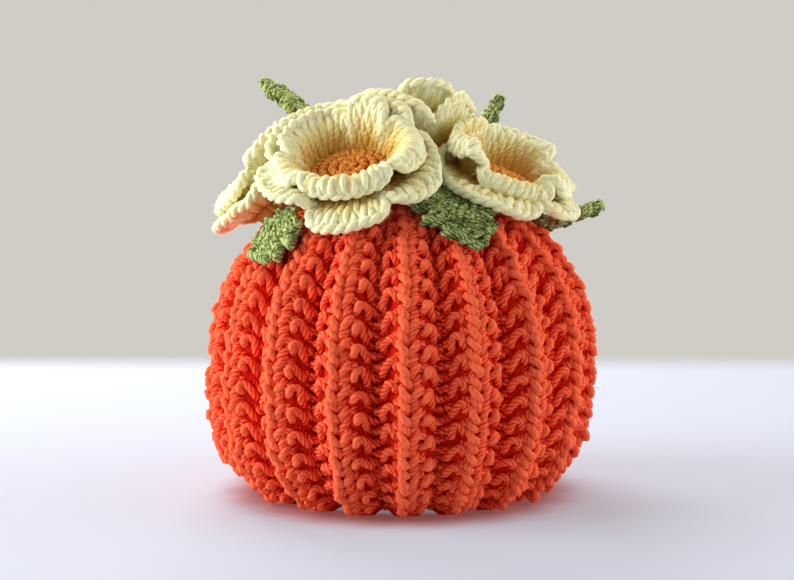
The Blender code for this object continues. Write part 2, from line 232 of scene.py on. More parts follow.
class YarnTree:
    """A geometry tree that lays yarn along guides, sweeps it round and gives it its wool."""

    sockets: dict = {}
    seed_step = 3.7
    wobble_scale = 130.0
    wobble_gain = 4.0
    lump_scale = 90.0
    lump_share = 0.30
    thinnest = 0.85

    def __init__(self, name: str) -> None:
        """Make the empty tree with its shared inputs, then let the subclass fill it.

        Args:
            name: the tree's name.
        """
        self.group = bpy.data.node_groups.new(name, "GeometryNodeTree")
        self.write = TreeWriter(self.group)
        face = self.group.interface
        face.new_socket(name="Geometry", in_out="INPUT", socket_type="NodeSocketGeometry")
        face.new_socket(name="Geometry", in_out="OUTPUT", socket_type="NodeSocketGeometry")
        shared = {"Yarn Radius": 0.0015, "Yarn Sides": 6, "Unevenness": 0.0003, "Seed": 1}
        for label, start in {**shared, **self.sockets}.items():
            kind = "NodeSocketInt" if isinstance(start, int) else "NodeSocketFloat"
            socket = face.new_socket(name=label, in_out="INPUT", socket_type=kind)
            socket.default_value = start
        face.new_socket(name="Wool", in_out="INPUT", socket_type="NodeSocketMaterial")
        outputs = self.write.add("NodeGroupInput").outputs
        self.given = {socket.name: Term(self.write, socket) for socket in outputs}
        self.compose()

    def compose(self) -> None:
        """Write the nodes between input and output."""
        raise NotImplementedError

    def named(self, name: str) -> Term:
        """Return a vector attribute of the guide.

        Args:
            name: of the attribute.

        Returns:
            Its value at each point.
        """
        inputs = {"Name": name}
        return self.write.out(
            "GeometryNodeInputNamedAttribute", inputs, "Attribute", data_type="FLOAT_VECTOR"
        )

    def wobble(self, position: Term) -> Term:
        """Return a small smooth offset, so that no two stitches are quite alike.

        Args:
            position: where each point lies.

        Returns:
            The offset of each point.
        """
        inputs = {
            "Vector": position,
            "W": self.given["Seed"] * self.seed_step,
            "Scale": self.wobble_scale,
            "Detail": 1.0,
        }
        noise = self.write.out("ShaderNodeTexNoise", inputs, "Color", noise_dimensions="4D")
        return (noise - (0.5, 0.5, 0.5)) * (self.given["Unevenness"] * self.wobble_gain)

    def sweep(self, curve: Value, radius: Value, thinning: Value = 1.0, tone: Value = 0.5) -> None:
        """Turn curves into round yarn with its twist coordinates, and close the tree.

        Args:
            curve: the curves, in place.
            radius: the yarn's radius.
            thinning: a share of that radius at each point.
            tone: painted light and shade at each point, from 0 for painted shade to 1 for painted light on
                top.
        """
        write = self.write
        lumps = write.noise(write.position(), self.lump_scale)
        thickness = (lumps * self.lump_share + self.thinnest) * thinning
        curve = write.out("GeometryNodeSetCurveRadius", {"Curve": curve, "Radius": thickness})
        curve, along = write.keep(curve, write.along_spline("Length"))
        curve, tone = write.keep(curve, tone)
        round_yarn = {"Resolution": self.given["Yarn Sides"], "Radius": radius}
        ring = write.out("GeometryNodeCurvePrimitiveCircle", round_yarn)
        ring, around = write.keep(ring, write.step("NORMALIZE", write.position()))
        swept = {"Curve": curve, "Profile Curve": ring, "Fill Caps": True}
        tube = write.out("GeometryNodeCurveToMesh", swept)
        side, front, _ = write.parts(around)
        twist = write.vector(side, front, along)
        for name, kind, value in ((TWIST, "FLOAT_VECTOR", twist), (PAINTED_LIGHT, "FLOAT", tone)):
            stored = {"Geometry": tube, "Name": name, "Value": value}
            tube = write.out("GeometryNodeStoreNamedAttribute", stored, data_type=kind, domain="POINT")
        smooth = write.out("GeometryNodeSetShadeSmooth", {"Geometry": tube})
        real = write.out("GeometryNodeRealizeInstances", {"Geometry": smooth})
        dressed = {"Geometry": real, "Material": self.given["Wool"]}
        write.add("NodeGroupOutput", {"Geometry": write.out("GeometryNodeSetMaterial", dressed)})

    def grow(self, name: str, guide: bpy.types.Mesh, wool: bpy.types.Material,
             **sizes: Value) -> bpy.types.Object:
        """Grow yarn over a guide mesh and return it as a plain mesh object.

        Args:
            name: the new piece's name.
            guide: the surface or line that the yarn follows.
            wool: the finish of the yarn.
            sizes: the tree's inputs, words joined by underscores.

        Returns:
            The piece, at the origin, with no modifier.
        """
        carrier = bpy.data.objects.new(f"{name}_guide", guide)
        bpy.context.scene.collection.objects.link(carrier)
        step = carrier.modifiers.new("yarn", "NODES")
        step.node_group = self.group
        wanted = {label.replace("_", " ").title(): size for label, size in sizes.items()}
        wanted["Wool"] = wool
        for item in self.group.interface.items_tree:
            if item.in_out == "INPUT" and item.name in wanted:
                step[item.identifier] = wanted.pop(item.name)
        if wanted:
            raise ValueError(f"{self.group.name} has no input named {sorted(wanted)}")
        grown = carrier.evaluated_get(bpy.context.evaluated_depsgraph_get())
        mesh = bpy.data.meshes.new_from_object(grown)
        bpy.data.objects.remove(carrier)
        mesh.name = name
        turn_outwards(mesh)
        return place(name, mesh)


class SurfaceYarn(YarnTree):
    """A yarn tree whose threads follow a guide surface through its weave map."""

    map_margin = 0.0005
    flat_enough = 1e-6

    def threads(self, across: Value, up: Value, upright: bool) -> tuple:
        """Return threads over a unit square.

        Args:
            across: the number of points across the square.
            up: the number of points up it.
            upright: whether the threads run up the square, not across it.

        Returns:
            The curves, and each point's share of the way across and up.
        """
        write = self.write
        square = {"Size X": 1.0, "Size Y": 1.0, "Vertices X": across, "Vertices Y": up}
        grid = write.out("GeometryNodeMeshGrid", square)
        ends = write.add("GeometryNodeInputMeshEdgeVertices").outputs
        first, second = (Term(write, ends[label]) for label in ("Position 1", "Position 2"))
        leap = write.parts(first - second)[0 if upright else 1]
        rung = write.step("GREATER_THAN", write.step("ABSOLUTE", leap), self.flat_enough)
        rows = write.out("GeometryNodeDeleteGeometry", {"Geometry": grid, "Selection": rung},
                         domain="EDGE", mode="EDGE_FACE")
        x, y, _ = write.parts(write.position())
        return write.out("GeometryNodeMeshToCurve", {"Mesh": rows}), x + 0.5, y + 0.5

    def sampled(self, spot: Term, value: Term) -> Term:
        """Return a value of the guide surface at a place in its weave map.

        Args:
            spot: the place, from 0 to 1 across and up.
            value: what the guide surface holds.

        Returns:
            That value at the place.
        """
        node = self.write.add("GeometryNodeSampleUVSurface", data_type="FLOAT_VECTOR")
        inputs = {"Mesh": self.given["Geometry"], "Value": value,
                  "Source UV Map": self.named(WEAVE_UV), "Sample UV": spot}
        for name, source in inputs.items():
            self.write.feed(node.inputs[name], source)
        return Term(self.write, node.outputs["Value"])

    def above(self, u: Term, v: Term, depth: Term) -> Term:
        """Return an uneven place over the guide surface: its map place and its height.

        Args:
            u: the share of the way across the guide surface.
            v: the share of the way up it.
            depth: the height over it.

        Returns:
            The position.
        """
        write = self.write
        limits = {"Min": self.map_margin, "Max": 1.0 - self.map_margin}
        u, v = (write.out("ShaderNodeClamp", {"Value": share, **limits}) for share in (u, v))
        spot = write.vector(u, v)
        outward = self.sampled(spot, self.named(OUTWARD))
        raised = self.sampled(spot, write.position()) + outward * depth
        return raised + self.wobble(raised)


class StitchRows(SurfaceYarn):
    """Rows of loops over a surface: knit where the yarn's legs lie in front, else purl."""

    sockets = {
        "Stitches": 36.0,
        "Column Offset": 0.0,
        "Total Rows": 40.0,
        "First Row": 0.0,
        "Rows": 10,
        "Steps": 14,
        "Loop Bulge": 0.22,
        "Flank Bulge": 0.22,
        "Flank Height": 1.7,
        "Lean": 0.0,
        "Loop Height": 1.7,
        "Loop Depth": 0.0011,
        "Ribbed": 1.0,
        "Plain": 1.0,
        "Chevron": 0.0,
        "First Level": 0.9,
        "Ridge Light": 0.0,
        "Lightness": 0.5,
    }
    kind_change = 0.16
    row_swing = 0.25

    def kind(self, column: Term, row: Term) -> Term:
        """Return 1 for a knit stitch and -1 for a purl stitch.

        Ribs are four columns wide: one always knit, one always purl, and between them
        columns that change from row to row, the two flanks a row apart.

        Args:
            column: the stitch's number across.
            row: its number up.

        Returns:
            The kind, which changes smoothly between whole columns and rows.
        """
        angle = column * (math.pi / 2)
        rib = angle.cos() + angle.sin() * (row * math.pi).cos()
        ribbed = self.given["Ribbed"]
        return rib * ribbed + self.given["Plain"] * (1.0 - ribbed)

    def blended_kind(self, edge: Term, row: Term, past: Term) -> Term:
        """Return the kind of stitch left of an edge between stitches, or right once past it."""
        before = self.kind(edge - 1.0, row)
        return (self.kind(edge, row) - before) * past + before

    def compose(self) -> None:
        """Lay rows of loops over the guide surface."""
        write, given = self.write, self.given
        points = given["Stitches"] * given["Steps"] + 1.0
        rows, across, up = self.threads(points, given["Rows"], False)
        row = (up * (given["Rows"] - 1.0)).rounded() + given["First Row"]
        column = across * given["Stitches"] + given["Column Offset"]
        edge = column.rounded()
        past = write.eased_step(column - edge, -self.kind_change, self.kind_change)
        own = self.blended_kind(edge, row, past)
        worked_above = self.blended_kind(edge, row + 1.0, past)

        turn = column * FULL_TURN
        twice = turn * 2.0
        ridge = ((column - 0.5) * (math.pi / 2)).cos()
        on_ridge = ridge * 0.5 + 0.5
        on_ridge = on_ridge * on_ridge * on_ridge
        bulge = (given["Loop Bulge"] - given["Flank Bulge"]) * on_ridge + given["Flank Bulge"]
        height = (given["Loop Height"] - given["Flank Height"]) * on_ridge + given["Flank Height"]
        u = (column + twice.sin() * bulge - given["Column Offset"]) / given["Stitches"]
        rise = turn.cos() * (height * -0.5)
        level = row + rise + (ridge * given["Chevron"] + given["First Level"])

        foot_or_head = twice.cos() * 0.5 + 0.5
        at_foot = write.step("GREATER_THAN", turn.cos(), 0.0)
        holder = own * at_foot + worked_above * (1.0 - at_foot)
        swing = turn.sin() * given["Lean"] + ((row * math.pi).cos() * self.row_swing + 1.0)
        depth = own * (1.0 - foot_or_head) * swing - foot_or_head * holder
        depth = depth * given["Loop Depth"]
        # Painted light and shade: deep parts of each loop are painted darker, rib ridges lighter (Ridge
        # Light), and the whole is shifted by a set painted light level.
        lightness = depth / (given["Loop Depth"] * 2.0) + ridge * given["Ridge Light"]
        rows, lightness = write.keep(rows, lightness + given["Lightness"])
        laid = write.moved(rows, Position=self.above(u, level / given["Total Rows"], depth))
        self.sweep(laid, given["Yarn Radius"], tone=lightness)


class Posts(SurfaceYarn):
    """Crocheted posts: strands that fan out over a surface from its foot to its rim."""

    sockets = {
        "Strands": 90,
        "Steps": 10,
        "Foot": 0.02,
        "Rim": 0.97,
        "Foot Share": 0.6,
        "Twist": 1.5,
        "Twist Reach": 0.25,
    }
    pair_phase = 1.9
    twist_depth = 0.45

    def compose(self) -> None:
        """Lay the posts over the guide surface, two by two round each other."""
        write, given = self.write, self.given
        posts, across, up = self.threads(given["Strands"], given["Steps"], True)
        strand = (across * (given["Strands"] - 1.0)).rounded()
        side = (strand * math.pi).cos()
        pair = write.step("FLOOR", strand * 0.5)
        phase = up * (given["Twist"] * FULL_TURN) + pair * self.pair_phase
        shift = given["Twist Reach"] * side * phase.sin() / given["Strands"]
        u = (strand + 0.5) / given["Strands"] + shift
        v = up * (given["Rim"] - given["Foot"]) + given["Foot"]
        depth = phase.cos() * side * (given["Yarn Radius"] * self.twist_depth)
        posts, height = write.keep(posts, up)
        laid = write.moved(posts, Position=self.above(u, v, depth))
        thinning = height * (1.0 - given["Foot Share"]) + given["Foot Share"]
        # The height also paints shade: posts are painted darker at the foot, deep in the cup, and lighter
        # towards the rim.
        self.sweep(laid, given["Yarn Radius"], thinning, height)


class ChainEdge(YarnTree):
    """A chain of crochet stitches worked along an edge: two strands wound round it."""

    sockets = {"Stitch Length": 0.0044, "Braid Radius": 0.0009, "Points": 6.0, "Flatness": 0.8,
               "Lightness": 0.8}

    def compose(self) -> None:
        """Wind two strands round the guide line."""
        write, given = self.write, self.given
        line = write.out("GeometryNodeMeshToCurve", {"Mesh": given["Geometry"]})
        spaced = {"Curve": line, "Length": given["Stitch Length"] / given["Points"]}
        even = write.out("GeometryNodeResampleCurve", spaced, mode="LENGTH")
        whole = write.out("GeometryNodeSplineLength", output="Length")
        turns = (whole / given["Stitch Length"]).rounded()
        angle = write.along_spline("Factor") * turns * math.pi
        both = write.add("GeometryNodeJoinGeometry")
        for start in (math.pi, 0.0):
            phase = angle + start
            out = phase.cos() * given["Braid Radius"]
            up = phase.sin() * (given["Braid Radius"] * given["Flatness"])
            offset = self.named(OUTWARD) * out + self.named(RISE) * up
            offset = offset + self.wobble(write.position())
            write.feed(both.inputs[0], write.moved(even, Offset=offset))
        # Chains get a set level of painted light, by default lighter than the middle, as if lit on top.
        self.sweep(both.outputs[0], given["Yarn Radius"], tone=given["Lightness"])


class StrayFibres(YarnTree):
    """Fine bent fibres that stand off the yarn and make its outline soft."""

    sockets = {"Density": 1.0, "Fibre Length": 0.0024}
    knee = (0.30, 0.55)
    tip_height = 0.60
    lean = 0.5
    shortest = 0.35
    longest = 1.25
    taper = -0.6
    # Stray fibres are painted light, as if lit where they stand off the yarn.
    tone = 0.9

    def compose(self) -> None:
        """Scatter fibres over the yarn and bend each its own way."""
        write, given = self.write, self.given
        seed = {"Seed": given["Seed"]}
        scatter = {"Mesh": given["Geometry"], "Density": given["Density"], **seed}
        spots = write.add("GeometryNodeDistributePointsOnFaces", scatter).outputs
        reach = given["Fibre Length"]
        bent = {
            "Resolution": 2,
            "Start": (0.0, 0.0, 0.0),
            "Middle": write.vector(reach * self.knee[0], 0.0, reach * self.knee[1]),
            "End": write.vector(reach, 0.0, reach * self.tip_height),
        }
        fibre = write.out("GeometryNodeCurveQuadraticBezier", bent)
        limits = {0: (-self.lean, -self.lean, 0.0), 1: (self.lean, self.lean, FULL_TURN), **seed}
        lean = write.out("FunctionNodeRandomValue", limits, data_type="FLOAT_VECTOR")
        spin = write.out("FunctionNodeEulerToRotation", {0: lean})
        turned = {0: spots["Rotation"], 1: spin}
        sizes = {2: self.shortest, 3: self.longest, **seed}
        set_on = {
            "Points": spots["Points"],
            "Instance": fibre,
            "Rotation": write.out("FunctionNodeRotateRotation", turned, rotation_space="LOCAL"),
            "Scale": write.out("FunctionNodeRandomValue", sizes, 1, data_type="FLOAT"),
        }
        fibres = write.out("GeometryNodeInstanceOnPoints", set_on)
        real = write.out("GeometryNodeRealizeInstances", {"Geometry": fibres})
        share = write.along_spline("Factor")
        bend = self.wobble(write.position()) * share
        laid = write.moved(real, Offset=bend)
        self.sweep(laid, given["Yarn Radius"], share * self.taper + 1.0, tone=self.tone)


# ---------------------------------------------------------------- meshes


def place(name: str, mesh: bpy.types.Mesh) -> bpy.types.Object:
    """Link a mesh into the scene as an object at the origin.

    Args:
        name: the object's name.
        mesh: its mesh.

    Returns:
        The object.
    """
    piece = bpy.data.objects.new(name, mesh)
    bpy.context.scene.collection.objects.link(piece)
    return piece


def signed_volume(mesh: bpy.types.Mesh) -> float:
    """Return the volume that a mesh's faces enclose, negative if they point inwards.

    Args:
        mesh: a closed mesh.

    Returns:
        The volume in cubic metres.
    """
    mesh.calc_loop_triangles()
    corners = np.empty(len(mesh.loop_triangles) * 3, np.int32)
    mesh.loop_triangles.foreach_get("vertices", corners)
    spots = np.empty(len(mesh.vertices) * 3, np.float32)
    mesh.vertices.foreach_get("co", spots)
    a, b, c = np.moveaxis(spots.reshape(-1, 3)[corners].reshape(-1, 3, 3), 1, 0)
    return float(np.einsum("ij,ij->i", a, np.cross(b, c)).sum() / 6)


def turn_outwards(mesh: bpy.types.Mesh) -> None:
    """Turn a closed mesh's faces outwards if they all point inwards."""
    if signed_volume(mesh) < 0.0:
        mesh.flip_normals()


def grid_faces(rows: int, columns: int, ring: bool) -> np.ndarray:
    """Return the faces of a grid of points, rows first, closed into a ring if asked.

    Args:
        rows: points up.
        columns: points across.
        ring: whether the last column meets the first.

    Returns:
        One row of four point numbers for each face.
    """
    row, column = np.mgrid[0 : rows - 1, 0 : columns if ring else columns - 1]
    after = (column + 1) % columns
    low, high = row * columns, (row + 1) * columns
    return np.stack([low + column, low + after, high + after, high + column], axis=-1).reshape(-1, 4)


def mesh_of(name: str, points: np.ndarray, faces: Sequence, edges: Sequence = ()) -> bpy.types.Mesh:
    """Return a smooth-shaded mesh of points and faces.

    Args:
        name: the mesh's name.
        points: its points, in any grid.
        faces: point numbers of each face.
        edges: point numbers of each loose edge.

    Returns:
        The mesh.
    """
    mesh = bpy.data.meshes.new(name)
    corners = np.asarray(points).reshape(-1, 3).tolist()
    mesh.from_pydata(corners, [list(edge) for edge in edges], [list(face) for face in faces])
    mesh.update()
    mesh.shade_smooth()
    return mesh


def unit(vectors: np.ndarray) -> np.ndarray:
    """Return vectors at length one."""
    return vectors / np.maximum(np.linalg.norm(vectors, axis=-1, keepdims=True), TINY_LENGTH)


def grid_normals(points: np.ndarray, ring: bool) -> np.ndarray:
    """Return a grid's unit normals, with columns running right and rows running up.

    Args:
        points: rows by columns by three.
        ring: whether the last column meets the first.

    Returns:
        Rows by columns by three.
    """
    if ring:
        across = np.roll(points, -1, axis=1) - np.roll(points, 1, axis=1)
    else:
        across = np.gradient(points, axis=1)
    return unit(np.cross(across, np.gradient(points, axis=0)))


def store_vectors(mesh: bpy.types.Mesh, name: str, vectors: np.ndarray) -> None:
    """Store one vector for each point of a mesh."""
    layer = mesh.attributes.new(name, "FLOAT_VECTOR", "POINT")
    layer.data.foreach_set("vector", np.asarray(vectors, np.float32).ravel())


def guide_surface(name: str, points: np.ndarray, ring: bool) -> bpy.types.Mesh:
    """Return a grid as a guide surface with its normals and its weave map.

    Args:
        name: the mesh's name.
        points: rows by columns by three.
        ring: whether the last column meets the first.

    Returns:
        The mesh; its map runs from 0 to 1 across the columns and up the rows.
    """
    outward = grid_normals(points, ring)
    if ring:
        points = np.concatenate([points, points[:, :1]], axis=1)
        outward = np.concatenate([outward, outward[:, :1]], axis=1)
    rows, columns = points.shape[:2]
    faces = grid_faces(rows, columns, False)
    mesh = mesh_of(name, points, faces)
    store_vectors(mesh, OUTWARD, outward)
    layer = mesh.uv_layers.new(name=WEAVE_UV)
    corners = faces.ravel()
    spots = np.stack([corners % columns / (columns - 1), corners // columns / (rows - 1)], axis=1)
    layer.data.foreach_set("uv", spots.astype(np.float32).ravel())
    return mesh


def guide_line(name: str, points: np.ndarray, outward: np.ndarray, rise: np.ndarray,
               ring: bool) -> bpy.types.Mesh:
    """Return a line of points as a guide for an edge, with its two side directions.

    Args:
        name: the mesh's name.
        points: along the line.
        outward: the way out at each point.
        rise: the way across the edge at each point.
        ring: whether the line closes.

    Returns:
        The mesh, of edges alone.
    """
    count = len(points)
    edges = [(i, (i + 1) % count) for i in range(count if ring else count - 1)]
    mesh = mesh_of(name, points, (), edges)
    store_vectors(mesh, OUTWARD, unit(outward))
    store_vectors(mesh, RISE, unit(rise))
    return mesh


def cloth_shell(name: str, points: np.ndarray, thickness: float, ring: bool) -> bpy.types.Mesh:
    """Return a closed sheet of cloth around a grid of middle points.

    Args:
        name: the mesh's name.
        points: rows by columns by three, normals outwards.
        thickness: of the sheet, half to each side.
        ring: whether the last column meets the first.

    Returns:
        The closed mesh, its faces outwards.
    """
    rows, columns = points.shape[:2]
    offset = grid_normals(points, ring) * thickness / 2
    layers = np.concatenate([(points + offset).reshape(-1, 3), (points - offset).reshape(-1, 3)])
    front = grid_faces(rows, columns, ring)
    inner = rows * columns
    faces = [tuple(face) for face in front] + [tuple(inner + face[::-1]) for face in front]
    numbers = np.arange(inner).reshape(rows, columns)
    if ring:
        numbers = np.column_stack([numbers, numbers[:, 0]])
    rims = [numbers[0], numbers[-1, ::-1]]
    if not ring:
        rims += [numbers[::-1, 0], numbers[:, -1]]
    for rim in rims:
        faces += [(b, a, a + inner, b + inner) for a, b in zip(rim[:-1], rim[1:])]
    mesh = mesh_of(name, layers, faces)
    turn_outwards(mesh)
    return mesh


def sheet_area(points: np.ndarray, ring: bool) -> float:
    """Return the area of a grid of points.

    Args:
        points: rows by columns by three.
        ring: whether the last column meets the first.

    Returns:
        The area in square metres.
    """
    if ring:
        points = np.concatenate([points, points[:, :1]], axis=1)
    first = np.cross(points[:-1, 1:] - points[:-1, :-1], points[1:, :-1] - points[:-1, :-1])
    second = np.cross(points[1:, :-1] - points[1:, 1:], points[:-1, 1:] - points[1:, 1:])
    return float((np.linalg.norm(first, axis=-1) + np.linalg.norm(second, axis=-1)).sum() / 2)


def around_edge(grid: np.ndarray) -> np.ndarray:
    """Return a grid's edge: up its first column, across its last row and down its last column."""
    return np.concatenate([grid[:, 0], grid[-1, 1:-1], grid[::-1, -1]])


def cut_area(area: float, width: float, length: float) -> float:
    """Return a cut piece's flat area, at most its rectangle, at least a set share of it."""
    whole = width * length
    return max(LEAST_CUT, min(1.0, area / whole)) * whole


# ---------------------------------------------------------------- wool


@dataclass(frozen=True)
class Wool:
    """One dyed yarn: its slot, its colours from shade to light, and how it is spun.

    Colours run along a scale from 0 to 1. The yarn's place on it is a level, moved by the
    ridges of its plies, which paint shade into their grooves, by streaks of fibre, by patches of
    dye, and by painted light and shade from how far up it lies: darker low or deep, lighter on top.
    """

    slot: str
    shade: tuple
    middle: tuple
    light: tuple
    plies: int = 4
    ply_pitch: float = 0.0085
    ply_share: float = 0.55
    ply_roundness: float = 0.6
    ridge_mean: float = 0.62
    groove: float = 0.00022
    streak_share: float = 0.5
    streak_stretch: float = 120.0
    streak_scale: float = 5.0
    streak_drift: float = 9.0
    streak_height: float = 0.30
    patch_scale: float = 45.0
    patch_share: float = 0.35
    tone_share: float = 0.35
    tone_middle: float = 0.5
    level: float = 0.691
    stops: tuple = (0.22, 0.62, 1.0)
    # ground_stops place the cloth's grain towards the shade colour: a painted shade on the cloth behind the
    # stitches.
    ground_stops: tuple = (0.35, 0.75, 1.0)
    ground_grain: float = 420.0
    ground_relief: float = 0.0006
    fine_detail: float = 3.0
    roughness: float = 0.85
    specular: float = 0.2
    sheen: float = 0.25
    sheen_roughness: float = 0.4
    glow: float = 0.0
    glow_colour: tuple = (1.0, 0.6, 0.3)
    glow_reach: float = 0.0025

    def spun(self) -> bpy.types.Material:
        """Return the finish of the yarn itself: plies that wind round it, and their fibres.

        Returns:
            The material.
        """
        material, write, shader = self.start(self.slot)
        twist = write.out("ShaderNodeAttribute", output="Vector", attribute_name=TWIST)
        side, front, length = write.parts(twist)
        wound = write.step("ARCTAN2", front, side) - length * (FULL_TURN / self.ply_pitch)
        ridge = write.step("ABSOLUTE", (wound * self.plies * 0.5).cos())
        patch = write.noise(write.out("ShaderNodeTexCoord", output="Object"), self.patch_scale)
        drift = length * self.streak_stretch + patch * self.streak_drift
        strand = write.vector(wound.cos(), wound.sin(), drift)
        streak = write.noise(strand, self.streak_scale, self.fine_detail)
        tone = write.out("ShaderNodeAttribute", output="Fac", attribute_name=PAINTED_LIGHT)
        # Painted shade and light: ply crests are painted lighter and ply grooves darker.
        level = self.level - self.ridge_mean * self.ply_share - 0.5 * self.streak_share
        colour = ridge * self.ply_share + streak * self.streak_share + level
        colour = colour + (patch - 0.5) * self.patch_share
        # Painted light and shade from the stored tone: darker where the yarn lies deep or low, lighter on
        # top.
        colour = colour + (tone - self.tone_middle) * self.tone_share
        relief = write.step("POWER", ridge, self.ply_roundness) + streak * self.streak_height
        self.dye(write, shader, colour, self.stops, relief, self.groove)
        return material

    def ground(self) -> bpy.types.Material:
        """Return the finish of the cloth behind the stitches: the same wool, painted darker as shade.

        Returns:
            The material.
        """
        material, write, shader = self.start(f"{self.slot}_ground")
        where = write.out("ShaderNodeTexCoord", output="Object")
        grain = write.noise(where, self.ground_grain, self.fine_detail)
        self.dye(write, shader, grain, self.ground_stops, grain, self.ground_relief)
        return material

    def start(self, name: str) -> tuple:
        """Return a new material, a writer for its tree and its shader.

        Args:
            name: the material's name.

        Returns:
            The material, the writer and the shader.
        """
        material = bpy.data.materials.new(name)
        material.use_nodes = True
        material.diffuse_color = (*self.middle, 1.0)
        shader = material.node_tree.nodes["Principled BSDF"]
        values = {
            "Roughness": self.roughness,
            "Specular IOR Level": self.specular,
            "Sheen Weight": self.sheen,
            "Sheen Roughness": self.sheen_roughness,
            "Sheen Tint": (*self.light, 1.0),
            "Subsurface Weight": self.glow,
            "Subsurface Radius": self.glow_colour,
            "Subsurface Scale": self.glow_reach,
        }
        for socket, value in values.items():
            shader.inputs[socket].default_value = value
        return material, TreeWriter(material.node_tree), shader

    def dye(self, write: TreeWriter, shader: bpy.types.Node, value: Term, stops: tuple,
            relief: Term, depth: float) -> None:
        """Give a shader the wool's colours, from shade to light, and its relief.

        Args:
            write: the writer of the shader's tree.
            shader: the shader.
            value: the place on the scale of colours.
            stops: the places of the shade, the middle and the light.
            relief: the height of the surface, from 0 to about 1.
            depth: the real depth of that relief.
        """
        ramp = write.add("ShaderNodeValToRGB", {"Fac": value})
        elements = ramp.color_ramp.elements
        elements.new(stops[1])
        for element, stop, colour in zip(elements, stops, (self.shade, self.middle, self.light)):
            element.position = stop
            element.color = (*colour, 1.0)
        bump = write.out("ShaderNodeBump", {"Height": relief, "Strength": 1.0, "Distance": depth})
        write.feed(shader.inputs["Base Color"], ramp.outputs["Color"])
        write.feed(shader.inputs["Normal"], bump)


ORANGE = Wool(
    "orange_wool", (0.46, 0.005, 0.001), (0.90, 0.020, 0.003), (1.0, 0.160, 0.066),
    tone_share=0.66, tone_middle=0.60, sheen=0.04, specular=0.08, ply_share=0.62, groove=0.00024,
    streak_share=0.85, glow=0.22, glow_colour=(1.0, 0.16, 0.04),
)
CREAM = Wool(
    "cream_wool", (0.66, 0.38, 0.075), (0.91, 0.82, 0.37), (0.96, 0.96, 0.67),
    plies=3, ply_pitch=0.0065, ply_share=0.22, groove=0.00009, glow=0.14, glow_colour=(1.0, 0.75, 0.3),
    tone_share=1.25, tone_middle=0.70, sheen=0.10, ground_stops=(0.15, 0.60, 1.0),
)
MUSTARD = Wool(
    "mustard_wool", (0.42, 0.060, 0.005), (0.66, 0.18, 0.018), (0.86, 0.38, 0.075),
    plies=3, ply_pitch=0.0055, groove=0.00018, sheen=0.08,
)
SAGE = Wool(
    "sage_wool", (0.018, 0.034, 0.006), (0.16, 0.22, 0.055), (0.52, 0.60, 0.22),
    plies=3, ply_pitch=0.0050, groove=0.00020, patch_scale=230.0, patch_share=1.5, sheen=0.08,
)


class Workbasket:
    """The wools and the stitch trees that every piece is worked with."""

    fibre_radius = 0.00007
    fibre_unevenness = 0.0006

    def __init__(self) -> None:
        """Spin each wool once and write each tree once."""
        wools = (ORANGE, CREAM, MUSTARD, SAGE)
        self.yarn = {wool.slot: wool.spun() for wool in wools}
        self.cloth = {wool.slot: wool.ground() for wool in wools}
        self.rows = StitchRows("stitch rows")
        self.posts = Posts("crochet posts")
        self.chain = ChainEdge("chain edge")
        self.fibres = StrayFibres("stray fibres")

    def finish_piece(self, piece: bpy.types.Object) -> bpy.types.Object:
        """Let a piece ride with the cosy and report it.

        Args:
            piece: the piece, at the origin.

        Returns:
            The same piece.
        """
        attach(piece, BODY)
        piece.data.calc_loop_triangles()
        LOG.info("%s: %d triangles", piece.name, len(piece.data.loop_triangles))
        return piece

    def work(self, tree: YarnTree, name: str, guide: bpy.types.Mesh, wool: Wool,
             **sizes: Value) -> bpy.types.Object:
        """Work one piece of yarn over its guide and finish it."""
        return self.finish_piece(tree.grow(name, guide, self.yarn[wool.slot], **sizes))

    def fray(self, piece: bpy.types.Object, wool: Wool, count: int) -> bpy.types.Object:
        """Let a number of stray fibres stand off a piece of yarn.

        Args:
            piece: the yarn that the fibres stand off.
            wool: what they are made of.
            count: about how many there are.

        Returns:
            The fibres as a piece of their own.
        """
        area = sum(face.area for face in piece.data.polygons)
        return self.work(
            self.fibres, f"{piece.name}_fibres", piece.data.copy(), wool,
            density=count / area, yarn_radius=self.fibre_radius, yarn_sides=3,
            unevenness=self.fibre_unevenness, seed=count,
        )

    def base(self, name: str, points: np.ndarray, thickness: float, ring: bool,
             wool: Wool) -> bpy.types.Object:
        """Return a closed cloth behind stitches.

        Args:
            name: the piece's name.
            points: the middle of the cloth, rows by columns by three.
            thickness: of the cloth.
            ring: whether the last column meets the first.
            wool: what it is made of.

        Returns:
            The piece.
        """
        mesh = cloth_shell(name, points, thickness, ring)
        mesh.materials.append(self.cloth[wool.slot])
        return place(name, mesh)


# ---------------------------------------------------------------- knitted wall


# Height and radius of the wall's outer face, from the hem to the eyelet at the crown.
PROFILE = np.array(
    [
        (0.0000, 0.0532), (0.0020, 0.0556), (0.0047, 0.0606), (0.0090, 0.0645), (0.0160, 0.0697),
        (0.0255, 0.0742), (0.0380, 0.0768), (0.0500, 0.0782), (0.0620, 0.0780), (0.0720, 0.0768),
        (0.0810, 0.0747), (0.0890, 0.0712), (0.0970, 0.0662), (0.1050, 0.0600), (0.1130, 0.0518),
        (0.1190, 0.0420), (0.1240, 0.0310), (0.1275, 0.0215), (0.1320, 0.0140), (0.1365, 0.0095),
        (0.1390, 0.0055),
    ]
)


class Seam(Enum):
    """The two seams, by the turn at which they stand."""

    SPOUT = -88.0
    HANDLE = 92.0


@dataclass(frozen=True)
class Slit:
    """An opening left in a seam: its lowest and highest point and its widest half."""

    seam: Seam
    low: float
    high: float
    half_width: float


